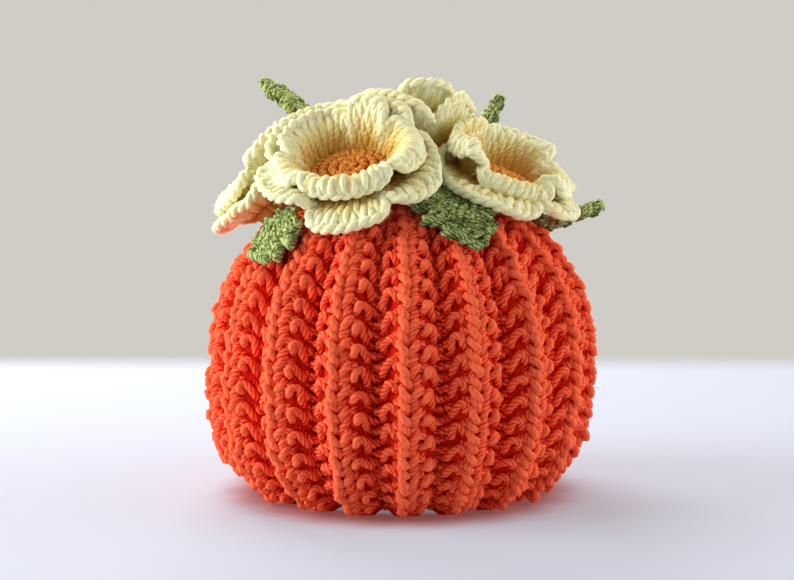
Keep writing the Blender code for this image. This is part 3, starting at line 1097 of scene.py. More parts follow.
@dataclass
class KnittedWall:
    """The form of the knitted wall: a round profile, drawn into eighteen ribs."""

    rib_count: int = 18
    rib_rise: float = 0.0029
    rib_rise_per_radius: float = 0.045
    rib_roundness: float = 0.18
    first_ridge: float = 2.0
    hem_lift: float = 0.0024
    hem_lift_fade: float = 0.10
    seam_gap: float = 0.0003
    slit_spread: float = 34.0
    belly_sag: float = 0.0022
    belly_sag_turn: float = -80.0
    belly_sag_height: float = 0.030
    belly_sag_span: float = 0.022
    points_per_knot: int = 24
    slits: tuple = (Slit(Seam.SPOUT, 0.031, 0.090, 0.0105), Slit(Seam.HANDLE, 0.031, 0.111, 0.0075))

    def __post_init__(self) -> None:
        """Draw the smooth profile once, with its length and normals."""
        knots = PROFILE[:, ::-1]
        before = np.vstack([2 * knots[0] - knots[1], knots[:-1]])
        after = np.vstack([knots[1:], 2 * knots[-1] - knots[-2]])
        slopes = (after - before) / 2
        t = np.linspace(0.0, 1.0, self.points_per_knot, endpoint=False)[:, None]
        pieces = [
            (2 * t**3 - 3 * t**2 + 1) * a + (t**3 - 2 * t**2 + t) * da
            + (3 * t**2 - 2 * t**3) * b + (t**3 - t**2) * db
            for a, b, da, db in zip(knots[:-1], knots[1:], slopes[:-1], slopes[1:])
        ]
        self.curve = np.vstack(pieces + [knots[-1:]])
        steps = np.linalg.norm(np.diff(self.curve, axis=0), axis=1)
        self.length = np.concatenate([[0.0], np.cumsum(steps)])
        tangent = unit(np.gradient(self.curve, self.length, axis=0))
        self.normal = np.stack([tangent[:, 1], -tangent[:, 0]], axis=1)
        rise = np.minimum(self.rib_rise, self.rib_rise_per_radius * self.curve[:, :1])
        self.ridge = self.curve + self.normal * rise

    def relief(self, turn: np.ndarray, radius: np.ndarray) -> np.ndarray:
        """Return how far the ribs lift the wall: out on a ridge, in in a valley.

        Args:
            turn: degrees round the cosy.
            radius: of the wall without ribs.

        Returns:
            The lift in metres.
        """
        rise = np.minimum(self.rib_rise, self.rib_rise_per_radius * radius)
        wave = np.radians(self.rib_count * (turn - self.first_ridge))
        return rise * (np.cos(wave) - self.rib_roundness * np.cos(2 * wave))

    def slit_half_width(self, seam: Seam, height: np.ndarray) -> np.ndarray:
        """Return half the distance between the two panels' edges at a seam.

        Args:
            seam: the seam.
            height: above the table.

        Returns:
            The distance in metres.
        """
        half = np.full_like(height, self.seam_gap / 2)
        for slit in self.slits:
            if slit.seam == seam:
                share = np.clip((height - slit.low) / (slit.high - slit.low), 0.0, 1.0)
                half = half + slit.half_width * np.sqrt(np.sin(math.pi * share).clip(0.0))
        return half

    def points(self, start: Seam, end: Seam, columns: int, rows: int, depth: float) -> np.ndarray:
        """Return the wall between two seams as rows of points from the hem upwards.

        Args:
            start: the seam at the first column.
            end: the seam at the last column.
            columns: spans across.
            rows: spans up.
            depth: how far below the outer face.

        Returns:
            Rows by columns by three.
        """
        last = end.value if end.value > start.value else end.value + 360.0
        turn = np.linspace(start.value, last, columns + 1)[None, :]
        climb = np.linspace(0.0, 1.0, rows + 1)[:, None]
        along = climb * self.length[-1]
        radius, height = (np.interp(along, self.length, self.curve[:, axis]) for axis in (0, 1))
        out, up = (np.interp(along, self.length, self.normal[:, axis]) for axis in (0, 1))
        sideways = np.cos(np.radians(turn - self.belly_sag_turn)).clip(0.0)
        level_share = ((height - self.belly_sag_height) / self.belly_sag_span) ** 2
        relief = self.relief(turn, radius) + self.belly_sag * sideways * np.exp(-level_share) - depth
        placed = turn + np.zeros_like(climb)
        for seam, edge, toward in ((start, start.value, 1.0), (end, last, -1.0)):
            away = np.abs(turn - edge) / self.slit_spread
            shift = np.degrees(np.arcsin(self.slit_half_width(seam, height) / radius))
            placed = placed + np.where(away < 1.0, toward * shift * (1.0 - np.minimum(away, 1.0)) ** 2, 0.0)
        off_ridge = 0.5 - 0.5 * np.cos(np.radians(self.rib_count * (turn - self.first_ridge)))
        fade = (1.0 - climb / self.hem_lift_fade).clip(0.0)
        lift = self.hem_lift * (2.0 * off_ridge - 1.0).clip(0.0) * fade
        reach = radius + out * relief
        level = np.where(climb > 0.0, height + up * relief, 0.0)
        angle = np.radians(placed)
        return np.stack([reach * np.sin(angle), -reach * np.cos(angle), level + lift], axis=-1)


@dataclass(frozen=True)
class Chain:
    """How a chained edge lies: its yarn, how wide it winds, its stitches, its unevenness."""

    yarn_radius: float
    braid_radius: float
    stitch_length: float
    unevenness: float = 0.0003


@dataclass(frozen=True)
class RibStitch:
    """How the panels' stitches lie: bulges in stitches, heights and levels in rows."""

    yarn_radius: float = 0.00160
    loop_depth: float = 0.0020
    loop_height: float = 1.6
    loop_bulge: float = 0.32
    flank_bulge: float = -0.02
    flank_height: float = 1.15
    lean: float = 0.35
    # ridge_light paints a highlight along the rib ridges.
    ridge_light: float = 0.34
    chevron: float = 0.75
    first_level: float = 1.3
    unevenness: float = 0.0012


@dataclass
class KnittedPanel:
    """One knitted panel: its cloth, its rows of stitches, its hem and its side edges."""

    name: str
    node: str
    start: Seam
    end: Seam
    stitches: int = 36
    stitch_turn: float = 5.0
    column_offset: float = 2.5
    row_height: float = 0.00436
    knit_reach: float = 0.80
    cloth: float = 0.0012
    cloth_setback: float = 0.0008
    cloth_rows: int = 44
    middle: float = 0.0041
    guide_rows: int = 96
    stitch: RibStitch = RibStitch()
    edge_chain: Chain = Chain(0.00144, 0.0011, 0.0046)
    cloth_points_per_stitch: int = 3
    guide_points_per_stitch: int = 4
    fibres: int = 1400

    def build(self, wall: KnittedWall, basket: Workbasket) -> None:
        """Args:
            wall: the form that the panel follows.
            basket: its wools and stitches.
        """
        seams = (self.start, self.end)
        setback = self.middle + self.cloth_setback
        columns = self.stitches * self.cloth_points_per_stitch
        cloth_points = wall.points(*seams, columns, self.cloth_rows, setback)
        base = basket.base(f"{self.name}_cloth", cloth_points, self.cloth, False, ORANGE)
        columns = self.stitches * self.guide_points_per_stitch
        stitched = wall.points(*seams, columns, self.guide_rows, self.middle)
        guide = guide_surface(f"{self.name}_rows", stitched, False)
        total = round(wall.length[-1] / self.row_height)
        reach = round(total * self.knit_reach)
        pieces = []
        for part, first, end in (("lower", 0, reach // 2), ("upper", reach // 2, reach)):
            piece = basket.work(
                basket.rows, f"{self.name}_{part}_stitches", guide.copy(), ORANGE,
                stitches=float(self.stitches), column_offset=self.column_offset,
                total_rows=float(total), first_row=float(first), rows=end - first,
                seed=first + 1, **asdict(self.stitch),
            )
            pieces += [piece, basket.fray(piece, ORANGE, self.fibres)]
        pieces += [self.edge(basket, name, *line) for name, line in self.edges(stitched).items()]
        basket.finish_piece(base)
        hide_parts(self.node)
        width = self.stitches * math.radians(self.stitch_turn) * float(wall.curve[:, 0].max())
        length = float(wall.length[-1])
        area = cut_area(sheet_area(cloth_points, False), width, length)

    def edges(self, points: np.ndarray) -> dict:
        """Return the hem and the two side edges as lines with their side directions.

        Args:
            points: the panel's middle, rows by columns by three.

        Returns:
            For each edge its points, the way out and the way across it.
        """
        outward = grid_normals(points, False)
        up = unit(np.gradient(points, axis=0))
        aside = unit(np.gradient(points, axis=1))
        side_rows = slice(0, round(len(points) * self.knit_reach))
        return {
            "hem": (points[1], outward[1], up[1]),
            "first_edge": (points[side_rows, 0], outward[side_rows, 0], aside[side_rows, 0]),
            "last_edge": (points[side_rows, -1], outward[side_rows, -1], aside[side_rows, -1]),
        }

    def edge(self, basket: Workbasket, name: str, line: np.ndarray, outward: np.ndarray,
             rise: np.ndarray) -> bpy.types.Object:
        """Work a chain along one edge of the panel.

        Args:
            basket: the wools and stitches.
            name: of the edge.
            line: its points.
            outward: the way out at each point.
            rise: the way across the edge at each point.

        Returns:
            The chain.
        """
        guide = guide_line(f"{self.name}_{name}", line, outward, rise, False)
        return basket.work(
            basket.chain, f"{self.name}_{name}", guide, ORANGE, **asdict(self.edge_chain)
        )


# ---------------------------------------------------------------- crocheted flowers


@dataclass(frozen=True)
class Petal:
    """One petal: degrees of its round, length from the base, rise angle, rim's turn-out."""

    width: float
    length: float
    lean: float
    roll: float


@dataclass
class FlowerForm:
    """Where a flower sits on the crown, how it tilts, and its two rounds of petals."""

    name: str
    seat_turn: float
    seat_radius: float
    standoff: float
    tilt: float
    tilt_turn: float
    scale: float
    inner_start: float
    inner: tuple
    outer_start: float
    outer: tuple


# The centre's outline, from the middle below to the middle above: the share of its radius,
# the share of its thickness, and a further lift. The widest point stands at DOME_EDGE.
DOME = (
    (0.0, 0.0, 0.0), (0.5, 0.0, 0.0), (0.92, 0.0, 0.0), (1.0, 0.3, 0.0),
    (0.97, 1.0, -0.0009), (0.80, 1.0, -0.0002), (0.5, 1.0, 0.0004), (0.0, 1.0, 0.0006),
)
DOME_EDGE = 3


def petals(*rows: tuple) -> tuple:
    """Return petals from rows of their four sizes, in the order of Petal's fields."""
    return tuple(Petal(*row) for row in rows)


FLOWERS = (
    FlowerForm(
        "front", -40.0, 0.0305, 0.0022, 29.0, -18.0, 1.0, -48.0,
        petals((88.0, 0.0250, 56.0, 180.0), (85.0, 0.0245, 52.0, 140.0), (44.0, 0.0250, 74.0, 90.0),
               (92.0, 0.0215, 66.0, 60.0), (51.0, 0.0225, 54.0, 120.0)),
        -35.0,
        petals((60.0, 0.0225, 22.0, 85.0), (88.0, 0.0235, 34.0, 85.0), (50.0, 0.0250, 52.0, 50.0),
               (99.0, 0.0240, 58.0, 40.0), (63.0, 0.0235, 56.0, 70.0)),
    ),
    FlowerForm(
        "right", 80.0, 0.0375, 0.0009, 20.0, 67.0, 0.94, -22.0,
        petals((74.0, 0.0220, 20.0, 170.0), (72.0, 0.0238, 46.0, 140.0), (84.0, 0.0262, 70.0, 70.0),
               (130.0, 0.0325, 56.0, 200.0)),
        -58.0,
        petals((96.0, 0.0215, 14.0, 90.0), (66.0, 0.0205, 24.0, 60.0), (66.0, 0.0220, 42.0, 40.0),
               (66.0, 0.0260, 54.0, 30.0), (66.0, 0.0185, 20.0, 40.0)),
    ),
    FlowerForm(
        "left", -104.0, 0.0440, 0.0010, 36.0, -99.0, 0.93, -20.0,
        petals((72.0, 0.0275, 72.0, 70.0), (72.0, 0.0250, 78.0, 40.0), (72.0, 0.0275, 72.0, 60.0),
               (72.0, 0.0265, 50.0, 110.0), (72.0, 0.0265, 52.0, 120.0)),
        16.0,
        petals((72.0, 0.0230, 50.0, 70.0), (72.0, 0.0230, 48.0, 50.0), (72.0, 0.0235, 48.0, 60.0),
               (72.0, 0.0225, 40.0, 50.0), (72.0, 0.0225, 36.0, 50.0)),
    ),
    FlowerForm(
        "back", 172.0, 0.0075, 0.0011, 12.0, 175.0, 0.93, -10.0,
        petals((72.0, 0.0250, 70.0, 20.0), (72.0, 0.0240, 70.0, 40.0), (72.0, 0.0240, 64.0, 60.0),
               (72.0, 0.0225, 42.0, 120.0), (72.0, 0.0225, 58.0, 100.0)),
        26.0,
        petals((72.0, 0.0215, 44.0, 10.0), (72.0, 0.0230, 40.0, 40.0), (72.0, 0.0220, 28.0, 50.0),
               (72.0, 0.0230, 36.0, 40.0), (72.0, 0.0215, 42.0, 10.0)),
    ),
)


def smooth_rise(value: np.ndarray) -> np.ndarray:
    """Return a value eased from 0 to 1."""
    value = np.clip(value, 0.0, 1.0)
    return value * value * (3.0 - 2.0 * value)


def eased(distance: np.ndarray, clearance: float, softness: float) -> np.ndarray:
    """Return distances that level off at a clearance instead of passing below it.

    Args:
        distance: the distances.
        clearance: the least distance.
        softness: how far above it the levelling starts.

    Returns:
        The new distances.
    """
    start = clearance + softness
    pressed = clearance + softness * np.exp(np.minimum(0.0, distance - start) / softness)
    return np.where(distance >= start, distance, pressed)


def lay_on_body(points: np.ndarray, wall: KnittedWall, clearance: float, softness: float) -> np.ndarray:
    """Push points out of the ribbed body until they clear its ridges.

    Args:
        points: points by three.
        wall: the body's form.
        clearance: the least distance from its ridges.
        softness: how far above that the push starts.

    Returns:
        The points in their new places.
    """
    reach = np.hypot(points[:, 0], points[:, 1])
    flat = np.stack([reach, points[:, 2]], axis=1)
    gaps = np.linalg.norm(flat[:, None, :] - wall.ridge[None, :, :], axis=2)
    nearest = gaps.argmin(axis=1)
    normal = wall.normal[nearest]
    signed = np.einsum("ij,ij->i", flat - wall.ridge[nearest], normal)
    push = (eased(signed, clearance, softness) - signed)[:, None] * normal
    outward = points[:, :2] / np.maximum(reach, NEAR_AXIS)[:, None]
    return points + np.column_stack([outward * push[:, :1], push[:, 1]])


@dataclass(frozen=True)
class PostStitch:
    """How the petals' posts lie: how many, how thin at the foot, their yarn, their unevenness."""

    strands: int = 116
    foot_share: float = 0.5
    yarn_radius: float = 0.00142
    unevenness: float = 0.0004


@dataclass
class CrochetFlower:
    """One flower: a centre worked in rounds and two rounds of petals with chained rims."""

    form: FlowerForm
    sheet: float = 0.0030
    cloth: float = 0.0010
    centre_radius: float = 0.0142
    centre_thickness: float = 0.0052
    centre_sides: int = 48
    centre_fill: float = 0.8
    centre_rounds: tuple = (0.16, 0.44, 0.72, 0.98)
    centre_chain: Chain = Chain(0.00125, 0.00085, 0.0036)
    round_lift: float = 0.0002
    seat_gap: float = 0.0003
    heart_height: float = 0.012
    outer_start_angle: float = 20.0
    inner_start_angle: float = 78.0
    base_hole_radius: float = 0.0040
    foot_rows: int = 4
    clear_of_body: float = 0.0058
    clear_of_neighbour: float = 0.0019
    inner_extra_clear: float = 0.0031
    press_softness: float = 0.0040
    press_turn_up: float = 0.70
    notch_reach: float = 0.42
    squareness: float = 4.5
    join_start: float = 0.8
    join_span: float = 0.2
    lean_end: float = 0.35
    roll_start: float = 0.50
    path_steps: int = 64
    columns_per_petal: int = 20
    petal_rows: int = 12
    post: PostStitch = PostStitch()
    inner_post_foot: float = 0.02
    rim: Chain = Chain(0.00150, 0.00098, 0.0044, 0.0005)
    fibres: int = 260

    def frame_of(self, form: FlowerForm, wall: KnittedWall) -> tuple:
        """Return a flower's seat, axis, forward and rightward directions.

        Args:
            form: the flower's form.
            wall: the wall that it sits on.

        Returns:
            The seat and the three directions.
        """
        turn, tilt, toward = (math.radians(x) for x in (form.seat_turn, form.tilt, form.tilt_turn))
        upper = wall.curve[:, 1] > 0.5 * PROFILE[-1, 0]
        level = np.interp(-form.seat_radius, -wall.ridge[upper, 0], wall.ridge[upper, 1])
        seat = np.array([form.seat_radius * math.sin(turn), -form.seat_radius * math.cos(turn), level])
        lean = math.sin(tilt)
        axis = np.array([lean * math.sin(toward), -lean * math.cos(toward), math.cos(tilt)])
        forward = np.array([0.0, -1.0, 0.0])
        forward = unit(forward - axis * forward.dot(axis))
        return seat + axis * form.standoff, axis, forward, np.cross(axis, forward)

    def press_apart(self, points: np.ndarray, wall: KnittedWall, clearance: float) -> np.ndarray:
        """Fold petals up where they meet the planes between neighbouring flowers.

        Args:
            points: points by three.
            wall: the wall that the flowers sit on.
            clearance: the least distance from each plane.

        Returns:
            The points in their new places.
        """
        seat, axis = self.frame_of(self.form, wall)[:2]
        own = seat + axis * self.heart_height
        for other in FLOWERS:
            if other.name == self.form.name:
                continue
            seat, axis = self.frame_of(other, wall)[:2]
            neighbour = seat + axis * self.heart_height
            share = other.scale / (self.form.scale + other.scale)
            spot = neighbour + (own - neighbour) * share
            normal = unit(own - neighbour)
            distance = (points - spot) @ normal
            push = eased(distance, clearance, self.press_softness) - distance
            upward = np.array([0.0, 0.0, 1.0]) - normal * normal[2]
            points = points + push[:, None] * (normal + self.press_turn_up * upward)
        return points

    def petal_path(self, start_angle: float, lean: float, roll: float, length: float) -> tuple:
        """Return how far out and up a petal's middle line has come at each step of its length.

        Args:
            start_angle: degrees above level at the foot.
            lean: degrees above level further out.
            roll: degrees by which the rim turns out.
            length: of the line.

        Returns:
            The distances out and the distances up.
        """
        spot = (np.arange(self.path_steps) + 0.5) / self.path_steps
        angle = start_angle + (lean - start_angle) * smooth_rise(spot / self.lean_end)
        rolled = smooth_rise((spot - self.roll_start) / (1.0 - self.roll_start))
        angle = np.radians(angle - roll * rolled)
        steps = (np.cos(angle), np.sin(angle))
        return tuple(np.concatenate([[0.0], np.cumsum(x)]) * length / self.path_steps for x in steps)

    def petal_round(self, wall: KnittedWall, row: tuple, start_turn: float, base_radius: float,
                    base_height: float, start_angle: float, hole: Optional[float]) -> np.ndarray:
        """Return one round of petals.

        Args:
            wall: the knitted wall that the flower sits on.
            row: the petals of the round.
            start_turn: degrees round the flower's axis at which the first petal starts.
            base_radius: of the ring that the petals grow from.
            base_height: of that ring above the seat.
            start_angle: at which every petal leaves the ring.
            hole: the radius to which a flat base reaches inwards, if there is one.

        Returns:
            Rows by columns by three, from the foot to the rim.
        """
        form = self.form
        seat, axis, forward, rightward = self.frame_of(form, wall)
        shares = np.linspace(0.0, 1.0, self.petal_rows + 1)
        fine = np.arange(self.path_steps + 1) / self.path_steps
        across_steps = np.sin(np.linspace(-1.0, 1.0, self.columns_per_petal + 1)[1:] * math.pi / 2)
        columns = []
        turn = start_turn
        for petal, following in zip(row, row[1:] + row[:1]):
            for across in across_steps:
                azimuth = math.radians(turn + petal.width * (across + 1.0) / 2.0)
                spoke = forward * math.cos(azimuth) + rightward * math.sin(azimuth)
                lobe = math.sqrt(max(0.0, 1.0 - abs(across) ** self.squareness))
                reach = self.notch_reach + (1.0 - self.notch_reach) * lobe
                blend = 0.5 * float(smooth_rise((across - self.join_start) / self.join_span))
                length = petal.length + (following.length - petal.length) * blend
                lean = petal.lean + (following.lean - petal.lean) * blend
                path = self.petal_path(start_angle, lean, petal.roll, length)
                out, rise = (np.interp(shares * reach, fine, line) * form.scale for line in path)
                column = seat + spoke * (base_radius + out)[:, None] + axis * (base_height + rise)[:, None]
                if hole is not None:
                    foot = seat + spoke * hole + axis * base_height
                    flat = [foot + (column[0] - foot) * k / self.foot_rows for k in range(self.foot_rows)]
                    column = np.vstack(flat + [column])
                columns.append(column)
            turn += petal.width
        return np.stack(columns, axis=1)

    def lay(self, points: np.ndarray, wall: KnittedWall, fixed: int, extra: float) -> np.ndarray:
        """Press a round of petals against its neighbours and the body, its foot fixed.

        Args:
            points: rows by columns by three, from the foot to the rim.
            wall: the wall that the flower sits on.
            fixed: how many rows stay in place.
            extra: what is added to each clearance.

        Returns:
            The points in their new places.
        """
        flat = self.press_apart(points.reshape(-1, 3), wall, self.clear_of_neighbour + extra)
        flat = lay_on_body(flat, wall, self.clear_of_body + extra, self.press_softness / 2)
        laid = flat.reshape(points.shape)
        laid[:fixed] = points[:fixed]
        return laid

    def build(self, wall: KnittedWall, basket: Workbasket) -> None:
        """Crochet the flower: its two rounds of petals and its centre.

        Args:
            wall: the wall that the flower sits on.
            basket: its wools and stitches.
        """
        form = self.form
        half = self.sheet / 2
        inner_base = self.centre_radius * form.scale + self.seat_gap + half
        outer = self.petal_round(wall, form.outer, form.outer_start, inner_base + half, half,
                                 self.outer_start_angle, self.base_hole_radius)
        outer = self.lay(outer, wall, self.foot_rows + 1, 0.0)
        inner = self.petal_round(wall, form.inner, form.inner_start, inner_base,
                                 self.sheet + self.seat_gap + half, self.inner_start_angle, None)
        inner = self.lay(inner, wall, 1, self.inner_extra_clear)
        self.work_round("outer_petals", outer, self.foot_rows / (len(outer) - 1), basket)
        self.work_round("inner_petals", inner, self.inner_post_foot, basket)
        self.work_centre(wall, basket)

    def work_round(self, part: str, points: np.ndarray, foot: float, basket: Workbasket) -> None:
        """Work one round of petals: cloth, posts and chained rim.

        Args:
            part: the round's name.
            points: its middle, rows by columns by three.
            foot: the share of the way up at which the posts start.
            basket: the wools and stitches.
        """
        node = f"flower_{self.form.name}_{part}"
        base = basket.base(f"{node}_cloth", points, self.cloth, True, CREAM)
        guide = guide_surface(f"{node}_posts", points, True)
        posts = basket.work(
            basket.posts, f"{node}_posts", guide, CREAM, foot=foot, seed=len(node), **asdict(self.post)
        )
        rim_up = unit(points[-1] - points[-2])
        line = guide_line(f"{node}_rim", points[-1], grid_normals(points, True)[-1], rim_up, True)
        rim = basket.work(basket.chain, f"{node}_rim", line, CREAM, seed=len(node), **asdict(self.rim))
        pieces = [posts, rim, basket.fray(rim, CREAM, self.fibres)]
        basket.finish_piece(base)
        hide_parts(node)
        rim_steps = np.diff(points[-1], axis=0, append=points[-1][:1])
        width = float(np.linalg.norm(rim_steps, axis=1).sum())
        length = float(np.linalg.norm(np.diff(points, axis=0), axis=2).sum(axis=0).max())
        area = cut_area(sheet_area(points, True), width, length)

    def work_centre(self, wall: KnittedWall, basket: Workbasket) -> None:
        """Work the centre in rounds over a domed disc.

        Args:
            wall: the wall that the flower sits on.
            basket: the wools and stitches.
        """
        form = self.form
        seat, axis, forward, rightward = self.frame_of(form, wall)
        node = f"flower_{form.name}_centre"
        sides = self.centre_sides
        bottom = self.sheet + self.seat_gap
        radius = self.centre_radius * form.scale
        heights = [bottom + level * self.centre_thickness + lift for _, level, lift in DOME]
        outline = np.column_stack([[share for share, _, _ in DOME], heights])
        face = outline[:DOME_EDGE:-1]
        azimuth = np.linspace(0.0, FULL_TURN, sides, endpoint=False)
        spoke = np.cos(azimuth)[:, None] * forward + np.sin(azimuth)[:, None] * rightward
        rings = np.stack([seat + spoke * (share * radius) + axis * height for share, height in outline])
        inside = rings[1:-1]
        spots = np.concatenate([inside.reshape(-1, 3), rings[0, :1], rings[-1, :1]])
        low, high = len(spots) - 2, len(spots) - 1
        last = (len(inside) - 1) * sides
        faces = [tuple(face) for face in grid_faces(len(inside), sides, True)]
        for side in range(sides):
            after = (side + 1) % sides
            faces.append((after, side, low))
            faces.append((last + side, last + after, high))
        mesh = mesh_of(f"{node}_cloth", spots, faces)
        turn_outwards(mesh)
        mesh.materials.append(basket.cloth[MUSTARD.slot])
        base = place(f"{node}_cloth", mesh)
        for number, share in enumerate(self.centre_rounds):
            height = float(np.interp(share, face[:, 0], face[:, 1])) + self.round_lift
            ring = seat + spoke * (share * radius) + axis * height
            line = guide_line(f"{node}_round_{number}", ring, np.tile(axis, (sides, 1)), spoke, True)
            basket.work(
                basket.chain, f"{node}_round_{number}", line, MUSTARD, seed=number,
                **asdict(self.centre_chain),
            )
        basket.finish_piece(base)
        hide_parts(node)


# ---------------------------------------------------------------- leaves


@dataclass(frozen=True)
class PurlStitch:
    """How the leaves' stitches lie: purl all over, their height in rows."""

    steps: int = 10
    ribbed: float = 0.0
    plain: float = -1.0
    loop_height: float = 1.6
    loop_depth: float = 0.0017
    yarn_radius: float = 0.00120
    unevenness: float = 0.0013


@dataclass
class CrochetLeaf:
    """A serrated leaf: foot and tip in space, the way its face looks, and its sizes."""

    name: str
    foot: tuple
    tip: tuple
    face: tuple
    half_width: float
    bow: float
    cloth: float = 0.0012
    teeth: int = 4
    tooth_depth: float = 0.46
    foot_share: float = 0.07
    tip_width: float = 0.14
    cup: float = 0.10
    clear_of_body: float = 0.0014
    softness: float = 0.0016
    # The painted light level shifts the leaf's painted light and shade; the rim is painted lighter still.
    lightness: float = 0.5
    rim_light: float = 0.3
    width_roundness: float = 0.7
    first_tooth: float = 0.35
    last_station: float = 0.9999
    row_height: float = 0.0033
    fewest_rows: int = 6
    stitch_width: float = 0.0046
    fewest_stitches: int = 3
    stitch: PurlStitch = PurlStitch()
    rim: Chain = Chain(0.00115, 0.00125, 0.0042, 0.0009)
    rim_seed: int = 3
    stations: int = 40
    spans: int = 12

    def half_width_at(self, share: np.ndarray) -> np.ndarray:
        """Return the serrated half width along the leaf, as a share of the widest.

        Args:
            share: of the way from the foot to the tip.

        Returns:
            The half width at each share.
        """
        body = np.sin(math.pi * (self.foot_share + (1.0 - self.foot_share) * share)).clip(0.0)
        body = body**self.width_roundness
        from_peak = np.abs(2.0 * ((share * self.teeth + self.first_tooth) % 1.0) - 1.0)
        return np.maximum(self.tip_width, body) * (1.0 - self.tooth_depth * from_peak)

    def surface(self, wall: KnittedWall) -> np.ndarray:
        """Return the leaf's middle as rows of points from foot to tip.

        Args:
            wall: the wall that the leaf lies on.

        Returns:
            Rows by columns by three.
        """
        foot, along = np.array(self.foot), np.array(self.tip) - np.array(self.foot)
        face = np.array(self.face)
        face = unit(face - unit(along) * face.dot(unit(along)))
        side = np.cross(unit(along), face)
        share = np.linspace(0.0, 1.0, self.stations + 1)[:, None]
        across = np.linspace(-1.0, 1.0, self.spans + 1)[None, :]
        half = self.half_width * self.half_width_at(np.minimum(share, self.last_station))
        bow = self.bow * np.sin(math.pi * share)
        cup = self.cup * self.half_width * across**2
        points = foot + along * share[..., None] + side * (half * across)[..., None]
        points = points + face * (bow + cup)[..., None]
        flat = lay_on_body(points.reshape(-1, 3), wall, self.clear_of_body, self.softness)
        return flat.reshape(points.shape)

    def build(self, wall: KnittedWall, basket: Workbasket) -> None:
        """Args:
            wall: the wall that the leaf lies on.
            basket: its wools and stitches.
        """
        node = f"leaf_{self.name}"
        points = self.surface(wall)
        if np.einsum("ijk,k->ij", grid_normals(points, False), np.array(self.face)).mean() < 0.0:
            points = points[:, ::-1]
        base = basket.base(f"{node}_cloth", points, self.cloth, False, SAGE)
        guide = guide_surface(f"{node}_rows", points, False)
        length = float(np.linalg.norm(np.array(self.tip) - np.array(self.foot)))
        rows = max(self.fewest_rows, round(length / self.row_height))
        stitches = max(self.fewest_stitches, round(2 * self.half_width / self.stitch_width))
        yarn = basket.work(
            basket.rows, f"{node}_stitches", guide, SAGE, stitches=float(stitches),
            total_rows=rows + 1.0, rows=rows, lightness=self.lightness, seed=len(node),
            **asdict(self.stitch),
        )
        outward = grid_normals(points, False)
        aside = unit(np.gradient(points, axis=1))
        edge = [around_edge(grid) for grid in (points, outward, aside)]
        rim = basket.work(
            basket.chain, f"{node}_rim", guide_line(f"{node}_rim", *edge, False), SAGE,
            lightness=self.lightness + self.rim_light, seed=self.rim_seed, **asdict(self.rim),
        )
        basket.finish_piece(base)
        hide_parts(node)
        width = 2 * self.half_width
        area = cut_area(sheet_area(points, False), width, length)


# The two front leaves carry painted shade: their painted light levels are set low, lowest on the front
# right leaf under the flowers.
LEAVES = (
    CrochetLeaf("front_left", (-0.0405, -0.0390, 0.1160), (-0.0560, -0.0330, 0.0985),
                (-0.6, -0.5, 0.6), 0.0148, 0.0, lightness=0.32),
    CrochetLeaf("front_right", (0.0125, -0.0325, 0.1270), (0.0285, -0.0530, 0.1030),
                (0.2, -0.6, 0.75), 0.0165, 0.0, lightness=0.05),
    CrochetLeaf("upper_left", (-0.0335, 0.0080, 0.1490), (-0.0583, 0.0120, 0.1695),
                (0.60, -0.25, 0.76), 0.0098, 0.001),
    CrochetLeaf("right", (0.0470, 0.0098, 0.1090), (0.0824, 0.0030, 0.1185),
                (-0.1, 0.0, 1.0), 0.0125, -0.002),
    CrochetLeaf("back_right", (0.0297, 0.0376, 0.1125), (0.0430, 0.0500, 0.1640),
                (-0.6, 0.3, 0.6), 0.0125, 0.002),
)


# ---------------------------------------------------------------- studio


@dataclass(frozen=True)
class Lamp:
    """One soft square lamp: its place, the length of its side, its watts and its colour."""

    name: str
    where: tuple
    size: float
    power: float
    colour: tuple


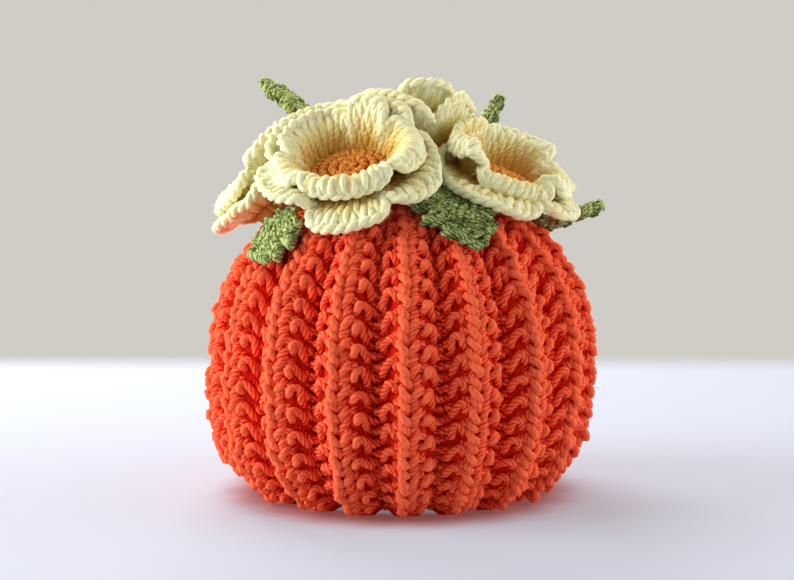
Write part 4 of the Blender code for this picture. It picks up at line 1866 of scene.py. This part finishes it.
@dataclass
class Studio:
    """Camera, soft lights, pale table and the pale wall behind it."""

    target: tuple = (-0.002, 0.0, 0.084)
    lit_spot: tuple = (0.0, 0.0, 0.08)
    distance: float = 0.75
    elevation: float = 5.5
    sensor: float = 36.0
    metres_per_pixel: float = 0.0004156
    image_width: int = 794
    wall_colour: tuple = (0.63, 0.605, 0.565)
    wall_reach: tuple = (-0.7, 0.6)
    table_colour: tuple = (0.414, 0.431, 0.493)
    table_size: float = 3.0
    table_edge: float = 0.390
    table_fade: float = 0.05
    fade_end: float = 0.045
    darkest_cloud: float = 0.96
    room_share: float = 0.58
    # The table glows with painted light of its own colour.
    table_glow: float = 0.50
    # A painted contact shadow darkens and reddens the table near the cosy.
    contact_reach: float = 0.019
    contact_dark: float = 0.10
    contact_colour: tuple = (0.300, 0.110, 0.105)
    lamps: tuple = (
        Lamp("key", (-0.25, 0.65, 0.62), 0.60, 7.0, (1.0, 1.0, 0.98)),
        Lamp("window", (-1.15, -0.15, 0.45), 0.90, 20.0, (0.96, 0.98, 1.0)),
        Lamp("fill", (0.95, -0.10, 0.35), 0.80, 6.0, (1.0, 0.98, 0.98)),
    )

    def build(self) -> None:
        """Set up the whole studio."""
        self.camera()
        self.table()
        self.surroundings()
        for lamp in self.lamps:
            self.hang(lamp)
        view = bpy.context.scene.view_settings
        view.view_transform = "Standard"
        view.look = "None"

    def camera(self) -> None:
        """Place the camera at the photograph's angle."""
        data = bpy.data.cameras.new("camera")
        data.sensor_width = self.sensor
        data.lens = self.sensor * self.distance / (self.image_width * self.metres_per_pixel)
        camera = bpy.data.objects.new("camera", data)
        tilt = math.radians(self.elevation)
        back = Vector((0.0, -math.cos(tilt), math.sin(tilt)))
        camera.location = Vector(self.target) + back * self.distance
        camera.rotation_euler = (-back).to_track_quat("-Z", "Y").to_euler()
        bpy.context.scene.collection.objects.link(camera)
        bpy.context.scene.camera = camera

    def table(self) -> None:
        """Lay the pale table, whose far edge melts into the wall behind it."""
        size, far = self.table_size, self.table_edge + self.table_fade
        corners = np.array([(-size, -size, 0.0), (size, -size, 0.0), (size, far, 0.0), (-size, far, 0.0)])
        mesh = mesh_of("table", corners, [(0, 1, 2, 3)])
        material = bpy.data.materials.new("pale_table")
        material.use_nodes = True
        write = TreeWriter(material.node_tree)
        shader = material.node_tree.nodes["Principled BSDF"]
        shader.inputs["Roughness"].default_value = 1.0
        shader.inputs["Specular IOR Level"].default_value = 0.0
        # Painted light: the table glows, which lifts its shadows though it is no lamp.
        shader.inputs["Emission Strength"].default_value = self.table_glow
        where = write.out("ShaderNodeTexCoord", output="Object")
        cloud = {"Value": write.noise(where, 3.0), "To Min": self.darkest_cloud, "To Max": 1.0}
        tone = write.out("ShaderNodeMapRange", cloud)
        colour = write.blend(tone, (0.0, 0.0, 0.0, 1.0), (*self.table_colour, 1.0))
        # Painted contact shadow: the table is painted darker near the cosy and tinted red as painted
        # reflected light from the orange wool.
        near = write.out("ShaderNodeAmbientOcclusion", {"Distance": self.contact_reach}, "AO")
        open_share = write.eased_step(near, self.contact_dark, 1.0)
        shaded = write.blend(open_share, (*self.contact_colour, 1.0), colour)
        for socket in ("Base Color", "Emission Color"):
            write.feed(shader.inputs[socket], shaded)
        away = write.parts(where)[1]
        edge = write.eased_step(away, self.table_edge - self.table_fade, self.table_edge + self.fade_end)
        write.feed(shader.inputs["Alpha"], 1.0 - edge)
        mesh.materials.append(material)
        place("table", mesh)

    def surroundings(self) -> None:
        """Fill the room with the pale wall's soft light."""
        world = bpy.data.worlds.new("pale_wall")
        bpy.context.scene.world = world
        world.use_nodes = True
        write = TreeWriter(world.node_tree)
        background = world.node_tree.nodes["Background"]
        background.inputs["Color"].default_value = (*self.wall_colour, 1.0)
        toward_wall = write.parts(write.out("ShaderNodeTexCoord", output="Generated"))[1]
        nearer = write.eased_step(toward_wall, *self.wall_reach)
        strength = nearer * (1.0 - self.room_share) + self.room_share
        write.feed(background.inputs["Strength"], strength)

    def hang(self, lamp: Lamp) -> None:
        """Hang one lamp that looks at the cosy.

        Args:
            lamp: the lamp.
        """
        data = bpy.data.lights.new(lamp.name, "AREA")
        data.size = lamp.size
        data.energy = lamp.power
        data.color = lamp.colour
        light = bpy.data.objects.new(lamp.name, data)
        light.location = lamp.where
        toward = Vector(self.lit_spot) - Vector(lamp.where)
        light.rotation_euler = toward.to_track_quat("-Z", "Y").to_euler()
        bpy.context.scene.collection.objects.link(light)


def main() -> None:
    """Build the cosy and the studio."""
    logging.basicConfig(level=logging.INFO, format="%(name)s: %(message)s")
    Studio().build()
    basket = Workbasket()
    wall = KnittedWall()
    ribbed = KnittedWall(rib_rise=0.0041, rib_rise_per_radius=0.060)
    KnittedPanel("front_knit", "front_panel", Seam.SPOUT, Seam.HANDLE).build(ribbed, basket)
    KnittedPanel("back_knit", "back_panel", Seam.HANDLE, Seam.SPOUT).build(ribbed, basket)
    for form in FLOWERS:
        CrochetFlower(form).build(wall, basket)
    for leaf in LEAVES:
        leaf.build(wall, basket)


if __name__ == "__main__":
    main()
